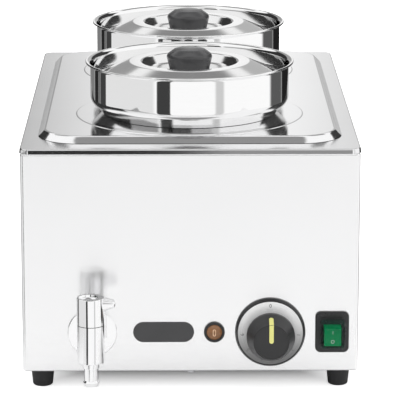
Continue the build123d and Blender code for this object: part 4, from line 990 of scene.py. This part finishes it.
def lampLoop(p):
    # a ring drawn out upright: a round bar carried round two half circles and the two straight sides between
    turn, spin = fullTurn(p["turns"]), fullTurn(p["barTurns"])
    radius, barR = p["wide"] / 2, p["bar"] / 2
    rise = np.where(np.sin(turn) >= 0, 1.0, -1.0) * (p["high"] / 2 - radius)
    middle = np.stack([radius * np.cos(turn), rise + radius * np.sin(turn)], 1)
    outwards = np.stack([np.cos(turn), np.sin(turn)], 1)
    rings = middle[:, None] + outwards[:, None] * (barR * np.cos(spin))[None, :, None]
    depth = np.broadcast_to(barR * np.sin(spin), rings.shape[:2])
    placed = [layout["pilotX"] + rings[..., 0], layout["frontY"] - p["out"] - depth]
    points = np.stack(placed + [layout["controlZ"] + rings[..., 1]], -1).reshape(-1, 3)
    meshPiece("pilot_loop", points, gridFaces(p["turns"], p["barTurns"], rowsClose=True), "cabinet",
              "filament", p["sharpDeg"])


lampLoop(lamp)
print("marks and lamp")


# nodes shown as a smooth copy, with the body they ride on and their finish
takenOver = {
    "front_panel": ("cabinet", "panel"), "right_panel": ("cabinet", "side"),
    "left_panel": ("cabinet", "side"), "rear_panel": ("cabinet", "panel"), "deck": ("cabinet", "deck"),
    "well": ("cabinet", "deck"), "pot_plate": ("plate", "plate"), "feet": ("cabinet", "rubber"),
    "tap_escutcheon": ("cabinet", "chrome"), "tap_body": ("cabinet", "chrome"),
    "tap_spout": ("cabinet", "chrome"), "drain_hose": ("cabinet", "silicone"),
    "heating_element": ("cabinet", "sheath"), "thermostat_bulb": ("cabinet", "copper"),
    "dial_bezel": ("cabinet", "bezel"), "pilot_rim": ("cabinet", "bezel"),
    "pilot_lens": ("cabinet", "amber"), "switch_frame": ("cabinet", "bezel"),
    "switch_hood": ("cabinet", "hood"), "switch_rocker": ("rocker", "green"),
    "cable_gland": ("cabinet", "blackCase"),
}
# nodes whose own mesh stays, with their finish
kept = {
    "base_plate": "base", "drain_stub": "deck", "heater_studs": "zinc", "base_screws": "zinc",
    "deck_screws": "zinc", "foot_screws": "zinc", "foot_nuts": "zinc", "tap_cartridge": "brass",
    "tap_stem": "brass", "tap_gasket": "fibre", "tap_nut": "brass", "hose_clips": "zinc",
    "heater_plate": "aluminium", "heater_clamps": "base", "heater_nuts": "zinc",
    "overheat_cutout": "blackCase", "thermostat": "blackCase", "thermostat_screws": "zinc",
    "dial_ring": "ring", "thermostat_shaft": "zinc", "pilot_holder": "blackCase", "pilot_nut": "blackCase",
    "switch_housing": "blackCase", "gland_nut": "blackCase", "terminal_block": "whiteBlock",
    "front_lid_screw": "zinc", "rear_lid_screw": "zinc",
}
for node, (body, finish) in takenOver.items():
    smoothCopy(node, body, finish, evenShade)
for node, finish in kept.items():
    nodes[node].data.materials.clear()
    nodes[node].data.materials.append(finishes[finish])
print("solids dressed", len(takenOver), len(kept))
